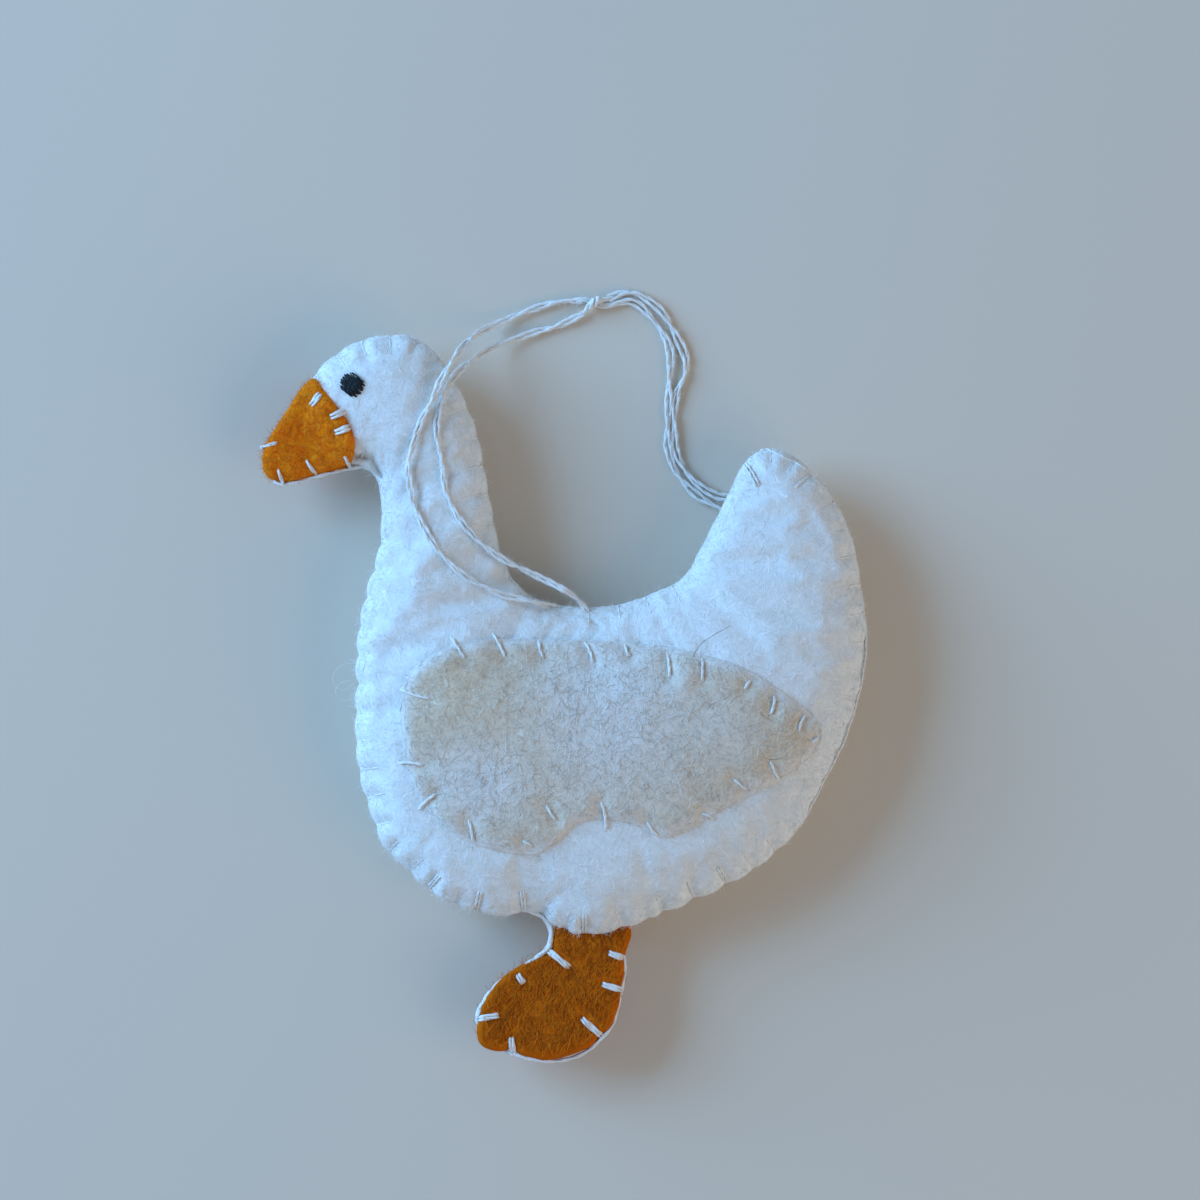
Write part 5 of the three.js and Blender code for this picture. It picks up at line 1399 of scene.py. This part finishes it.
# The direction across the felt that hairs turn from, their bends to a mm, how much of each bend they
# take along x, y and z, and how low over the table they may hang
HAIR_LEAN = (0.1, 1.0, 0.0)
HAIR_BENDS_PER_MM = 0.7
HAIR_BEND_SHARES = (1.0, 1.0, 0.35)
HAIR_FLOOR = 0.05 * MM
# Hairs grow only where the felt faces out at least this much, with 1 for level felt
OUTWARD_LEAST = 0.3
ANY_WAY = 3.14
COMBED = 0.8
# Each nap: hairs to a square mm, how many more where the felt is marked pale, their length and radius in
# mm, how far they may rise and turn in radians, and their curl in mm
NAP_SETTINGS = {
    "ivory_nap_front": (0.9, 1.5, 1.6, 0.018, 0.35, ANY_WAY, 1.3),
    "ivory_nap_back": (0.6, 1.0, 1.6, 0.018, 0.35, ANY_WAY, 1.3),
    "ivory_fuzz_front": (0.0, 9.0, 0.8, 0.018, 0.9, ANY_WAY, 0.9),
    "ivory_fuzz_back": (0.0, 7.0, 0.8, 0.018, 0.9, ANY_WAY, 0.9),
    "oatmeal_nap_front": (4.0, 0.0, 1.2, 0.014, 0.2, ANY_WAY, 0.45),
    "oatmeal_nap_back": (2.4, 0.0, 1.2, 0.014, 0.1, ANY_WAY, 0.45),
    # Ivory wisps crowd at the wing's edge and into its patches of painted sheen, adding to that highlight
    "ivory_wisps_front": (0.5, 4.5, 2.2, 0.014, 0.1, ANY_WAY, 0.6),
    "orange_beak_nap_front": (9.0, 6.0, 0.9, 0.018, 0.6, ANY_WAY, 0.8),
    "orange_beak_nap_back": (7.0, 5.0, 0.9, 0.018, 0.6, ANY_WAY, 0.8),
    "rust_foot_nap_front": (8.0, -8.0, 1.7, 0.027, 0.1, COMBED, 1.2),
    "rust_foot_nap_back": (6.0, -6.0, 1.7, 0.027, 0.1, COMBED, 1.2),
}
HANGER_FUZZ = (5.0, 0.0, 0.6, 0.014, 1.2, ANY_WAY, 0.5)


def make_nap_tree():
    """Lays curved hairs over a felt face, each a closed three-sided tube that starts in the felt"""
    tree = bpy.data.node_groups.new("felt_nap", "GeometryNodeTree")
    given = tree_inputs(tree, (
        ("Geometry", "Geometry"), ("Density", "Float"), ("Pale density", "Float"), ("Length", "Float"),
        ("Radius", "Float"), ("Rise", "Float"), ("Turn spread", "Float"), ("Curl", "Float"), ("Seed", "Int"),
        ("Material", "Material"),
    ))
    rim = add_node(tree, "GeometryNodeInputNamedAttribute", {"Name": "rim"}, data_type="FLOAT")
    density = add_node(tree, "ShaderNodeMath", {
        0: rim.outputs[0], 1: given["Pale density"], 2: given["Density"]}, operation="MULTIPLY_ADD")
    roots = add_node(tree, "GeometryNodeDistributePointsOnFaces", {
        "Mesh": given["Geometry"], "Density": density.outputs[0], "Seed": given["Seed"]})
    tone = add_node(tree, "FunctionNodeRandomValue", {"Seed": 11}, data_type="FLOAT")
    toned = add_node(tree, "GeometryNodeStoreNamedAttribute", {
        "Geometry": roots.outputs["Points"], "Name": "tone", "Value": tone.outputs[1]}, data_type="FLOAT")
    back = add_node(tree, "ShaderNodeMath", {0: given["Turn spread"], 1: -1.0}, operation="MULTIPLY")
    turn = add_node(tree, "FunctionNodeRandomValue", {2: back.outputs[0], 3: given["Turn spread"], "Seed": 5},
                    data_type="FLOAT")
    rise = add_node(tree, "FunctionNodeRandomValue", {2: 0.0, 3: given["Rise"], "Seed": 7}, data_type="FLOAT")
    lowered = add_node(tree, "ShaderNodeMath", {0: rise.outputs[1], 1: -1.0}, operation="MULTIPLY")
    angles = add_node(tree, "ShaderNodeCombineXYZ", {"Y": lowered.outputs[0], "Z": turn.outputs[1]})
    turned = add_node(tree, "FunctionNodeEulerToRotation", {0: angles.outputs[0]})
    upright = add_node(tree, "FunctionNodeAxesToRotation", {0: roots.outputs["Normal"], 1: HAIR_LEAN},
                       primary_axis="Z", secondary_axis="X")
    aimed = add_node(tree, "FunctionNodeRotateRotation", {
        "Rotation": upright.outputs[0], "Rotate By": turned.outputs[0]}, rotation_space="LOCAL")
    tip = add_node(tree, "ShaderNodeCombineXYZ", {"X": given["Length"]})
    hair = add_node(tree, "GeometryNodeCurvePrimitiveLine", {"End": tip.outputs[0]})
    bends = add_node(tree, "GeometryNodeResampleCurve", {"Curve": hair.outputs[0], "Count": HAIR_POINTS})
    size = add_node(tree, "FunctionNodeRandomValue", {2: HAIR_SIZES[0], 3: HAIR_SIZES[1], "Seed": 3},
                    data_type="FLOAT")
    planted = add_node(tree, "GeometryNodeInstanceOnPoints", {
        "Points": toned.outputs[0], "Instance": bends.outputs[0], "Rotation": aimed.outputs[0],
        "Scale": size.outputs[1]})
    loose = add_node(tree, "GeometryNodeRealizeInstances", {"Geometry": planted.outputs[0]})
    place = add_node(tree, "GeometryNodeInputPosition")
    sway = add_node(tree, "ShaderNodeTexNoise", {
        "Vector": place.outputs[0], "Scale": HAIR_BENDS_PER_MM / MM, "Detail": 1.0})
    centred = add_node(tree, "ShaderNodeVectorMath", {0: sway.outputs["Color"], 1: NOISE_MIDDLE},
                       operation="SUBTRACT")
    along = add_node(tree, "GeometryNodeSplineParameter")
    reach = add_node(tree, "ShaderNodeMath", {0: along.outputs["Factor"], 1: given["Curl"]},
                     operation="MULTIPLY")
    level = add_node(tree, "ShaderNodeVectorMath", {0: centred.outputs[0], 1: HAIR_BEND_SHARES},
                     operation="MULTIPLY")
    bent = add_node(tree, "ShaderNodeVectorMath", {0: level.outputs[0], "Scale": reach.outputs[0]},
                    operation="SCALE")
    swayed = add_node(tree, "GeometryNodeSetPosition", {
        "Geometry": loose.outputs[0], "Offset": bent.outputs[0]})
    reached = add_node(tree, "GeometryNodeInputPosition")
    parts = add_node(tree, "ShaderNodeSeparateXYZ", {0: reached.outputs[0]})
    height = add_node(tree, "ShaderNodeMath", {0: parts.outputs["Z"], 1: HAIR_FLOOR}, operation="MAXIMUM")
    above = add_node(tree, "ShaderNodeCombineXYZ", {
        "X": parts.outputs["X"], "Y": parts.outputs["Y"], "Z": height.outputs[0]})
    laid = add_node(tree, "GeometryNodeSetPosition", {
        "Geometry": swayed.outputs[0], "Position": above.outputs[0]})
    ring = add_node(tree, "GeometryNodeCurvePrimitiveCircle", {
        "Resolution": HAIR_SIDES, "Radius": given["Radius"]}, mode="RADIUS")
    tube = add_node(tree, "GeometryNodeCurveToMesh", {
        "Curve": laid.outputs[0], "Profile Curve": ring.outputs[0], "Fill Caps": True})
    finish_tree(tree, tube.outputs[0], given["Material"])
    return tree


def nap_material(name, dark, light):
    """Single wool hairs: dull, each of its own tone"""
    material, tree, shader = new_material(name, {"Roughness": 0.85, "Specular IOR Level": 0.25})
    tone = add_node(tree, "ShaderNodeAttribute", attribute_name="tone")
    shade = add_node(tree, "ShaderNodeMix", {0: tone.outputs["Fac"], 6: linear(dark), 7: linear(light)},
                     data_type="RGBA")
    tree.links.new(shade.outputs[2], shader.inputs["Base Color"])
    return material


def outer_face(name, side, skin_mesh, keep):
    """The part of a felt sheet's mesh that faces out on one side, to plant hairs on"""
    form = bmesh.new()
    form.from_mesh(skin_mesh)
    form.normal_update()
    buried = [face for face in form.faces if not keep(face, side)]
    bmesh.ops.delete(form, geom=buried, context="FACES")
    mesh = bpy.data.meshes.new(name)
    form.to_mesh(mesh)
    form.free()
    return mesh


def outer_skin(face, side):
    """Whether a face is on the felt's outer side, and not inside the goose or in a cut edge"""
    faces_out = face.normal.z * side > OUTWARD_LEAST
    return faces_out and (face.calc_center_median().z - SEAM_Z) * side > 2 * INNER_GAP


def grown_nap(name, base_mesh, hair, settings, seed):
    """The hairs on one mesh: their settings as the tree takes them, with lengths in metres"""
    density, pale_density, length, radius, rise, spread, curl = settings
    return grown(name, base_mesh, nap_tree, {
        "Density": density / MM ** 2, "Pale density": pale_density / MM ** 2, "Length": length * MM,
        "Radius": radius * MM, "Rise": rise, "Turn spread": spread, "Curl": curl * MM, "Seed": seed,
    }, hair)


nap_tree = make_nap_tree()
# Single wool hairs, from the felt's darker to its lighter fibres, which give it a soft matted look
ivory_hair = nap_material("loose_wool_hair_ivory", "eceae3", "fbfaf7")
oatmeal_hair = nap_material("loose_wool_hair_oatmeal", "c4b39b", "f9f4ea")
orange_hair = nap_material("loose_wool_hair_orange", "cc6000", "ffaa30")
# The foot's hairs are darker than the beak's, partly as painted shade
shaded_orange_hair = nap_material("loose_wool_hair_orange_shaded", "984200", "ffa020")
for name, sheet, hair, slot_name in (
    ("ivory_nap_front", body_panels[FRONT], ivory_hair, "ivory_felt"),
    ("ivory_nap_back", body_panels[REAR], ivory_hair, "ivory_felt"),
    ("ivory_fuzz_front", body_panels[FRONT], ivory_hair, "ivory_felt"),
    ("ivory_fuzz_back", body_panels[REAR], ivory_hair, "ivory_felt"),
    ("oatmeal_nap_front", wings[FRONT], oatmeal_hair, "oatmeal_felt"),
    ("oatmeal_nap_back", wings[REAR], oatmeal_hair, "oatmeal_felt"),
    ("ivory_wisps_front", wings[FRONT], ivory_hair, "ivory_felt"),
    ("orange_beak_nap_front", beaks[FRONT], orange_hair, "orange_felt"),
    ("orange_beak_nap_back", beaks[REAR], orange_hair, "orange_felt"),
    ("rust_foot_nap_front", feet[FRONT], shaded_orange_hair, "orange_felt"),
    ("rust_foot_nap_back", feet[REAR], shaded_orange_hair, "orange_felt"),
):
    side = FRONT if name.endswith("front") else REAR
    base_mesh = outer_face(name, side, sheet.data, outer_skin)
    nap = grown_nap(name, base_mesh, hair, NAP_SETTINGS[name], len(name))
    if sheet in feet.values():
        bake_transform(nap)
    else:
        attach(nap, "goose")

# Cotton hairs that work loose from the hanger's plies, and give it a faint halo
cotton_hair = nap_material("loose_cotton_hair", "e4e2dc", "faf9f6")
for name, cord in hanger_pieces.items():
    fuzz = grown_nap(name + "_fuzz", cord.data.copy(), cotton_hair, HANGER_FUZZ, len(name))
    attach(fuzz, "goose")

# Stray fibres. A few brown bits of plant fibre are felted into the wing, and a loose loop of wool stands
# off the chest. Handmade felt often holds such bits.
BROWN_FIBRES = (
    ((24.6, 10.9), (22.4, 9.7), (20.6, 8.6), (19.4, 7.3), (19.0, 6.2)),
    ((29.6, -8.8), (30.8, -9.2), (32.2, -8.8)), ((28.6, -1.4), (29.4, -2.6), (30.7, -3.3)),
    ((0.8, -9.2), (1.1, -9.5)), ((-0.4, 9.5), (0.2, 9.3)), ((-5.3, -21.6), (-4.9, -22.1)),
    ((6.0, -19.4), (6.1, -19.9)), ((15.5, 3.3), (15.7, 2.9)), ((30.5, -2.2), (30.2, -2.7)),
)
WOOL_LOOPS = (
    ((-31.6, 5.2), (-33.4, 5.0), (-34.9, 3.6), (-34.7, 1.8), (-33.2, 1.2), (-31.8, 2.2)),
    ((-31.9, 2.6), (-33.6, 2.4), (-34.6, 0.9), (-33.4, -0.4), (-31.6, 0.2)),
)
BROWN_FIBRE = 0.085 * MM
BROWN_PROUD_SHARE = 0.1
WOOL_FIBRE = 0.09 * MM
STRAY_STEP = 0.3 * MM

# Bits of grass and seed left in the wool: dull brown
brown_fibre = nap_material("plant_fibre_brown", "8a765a", "a88e6e")
brown_runs = []
for route in BROWN_FIBRES:
    line = evenly_spaced(rounded(np.array(route) * MM), False, STRAY_STEP)
    heights = np.array([top_height(FRONT, x, y) for x, y in line]) + BROWN_PROUD_SHARE * BROWN_FIBRE
    brown_runs.append(np.column_stack([line, heights]))
loop_runs = []
for route in WOOL_LOOPS:
    line = evenly_spaced(smooth_line(np.array(route) * MM, False), False, STRAY_STEP)
    loop_runs.append(np.column_stack([line, np.full(len(line), SEAM_Z)]))
for name, runs, thickness, fibre, slot_name in (
    ("brown_stray_fibres", brown_runs, BROWN_FIBRE, brown_fibre, "oatmeal_felt"),
    ("loose_wool_loops", loop_runs, WOOL_FIBRE, ivory_hair, "ivory_felt"),
):
    strays = spin_thread(name, runs, thickness, fibre, plies=1, sides=4)
    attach(strays, "goose")
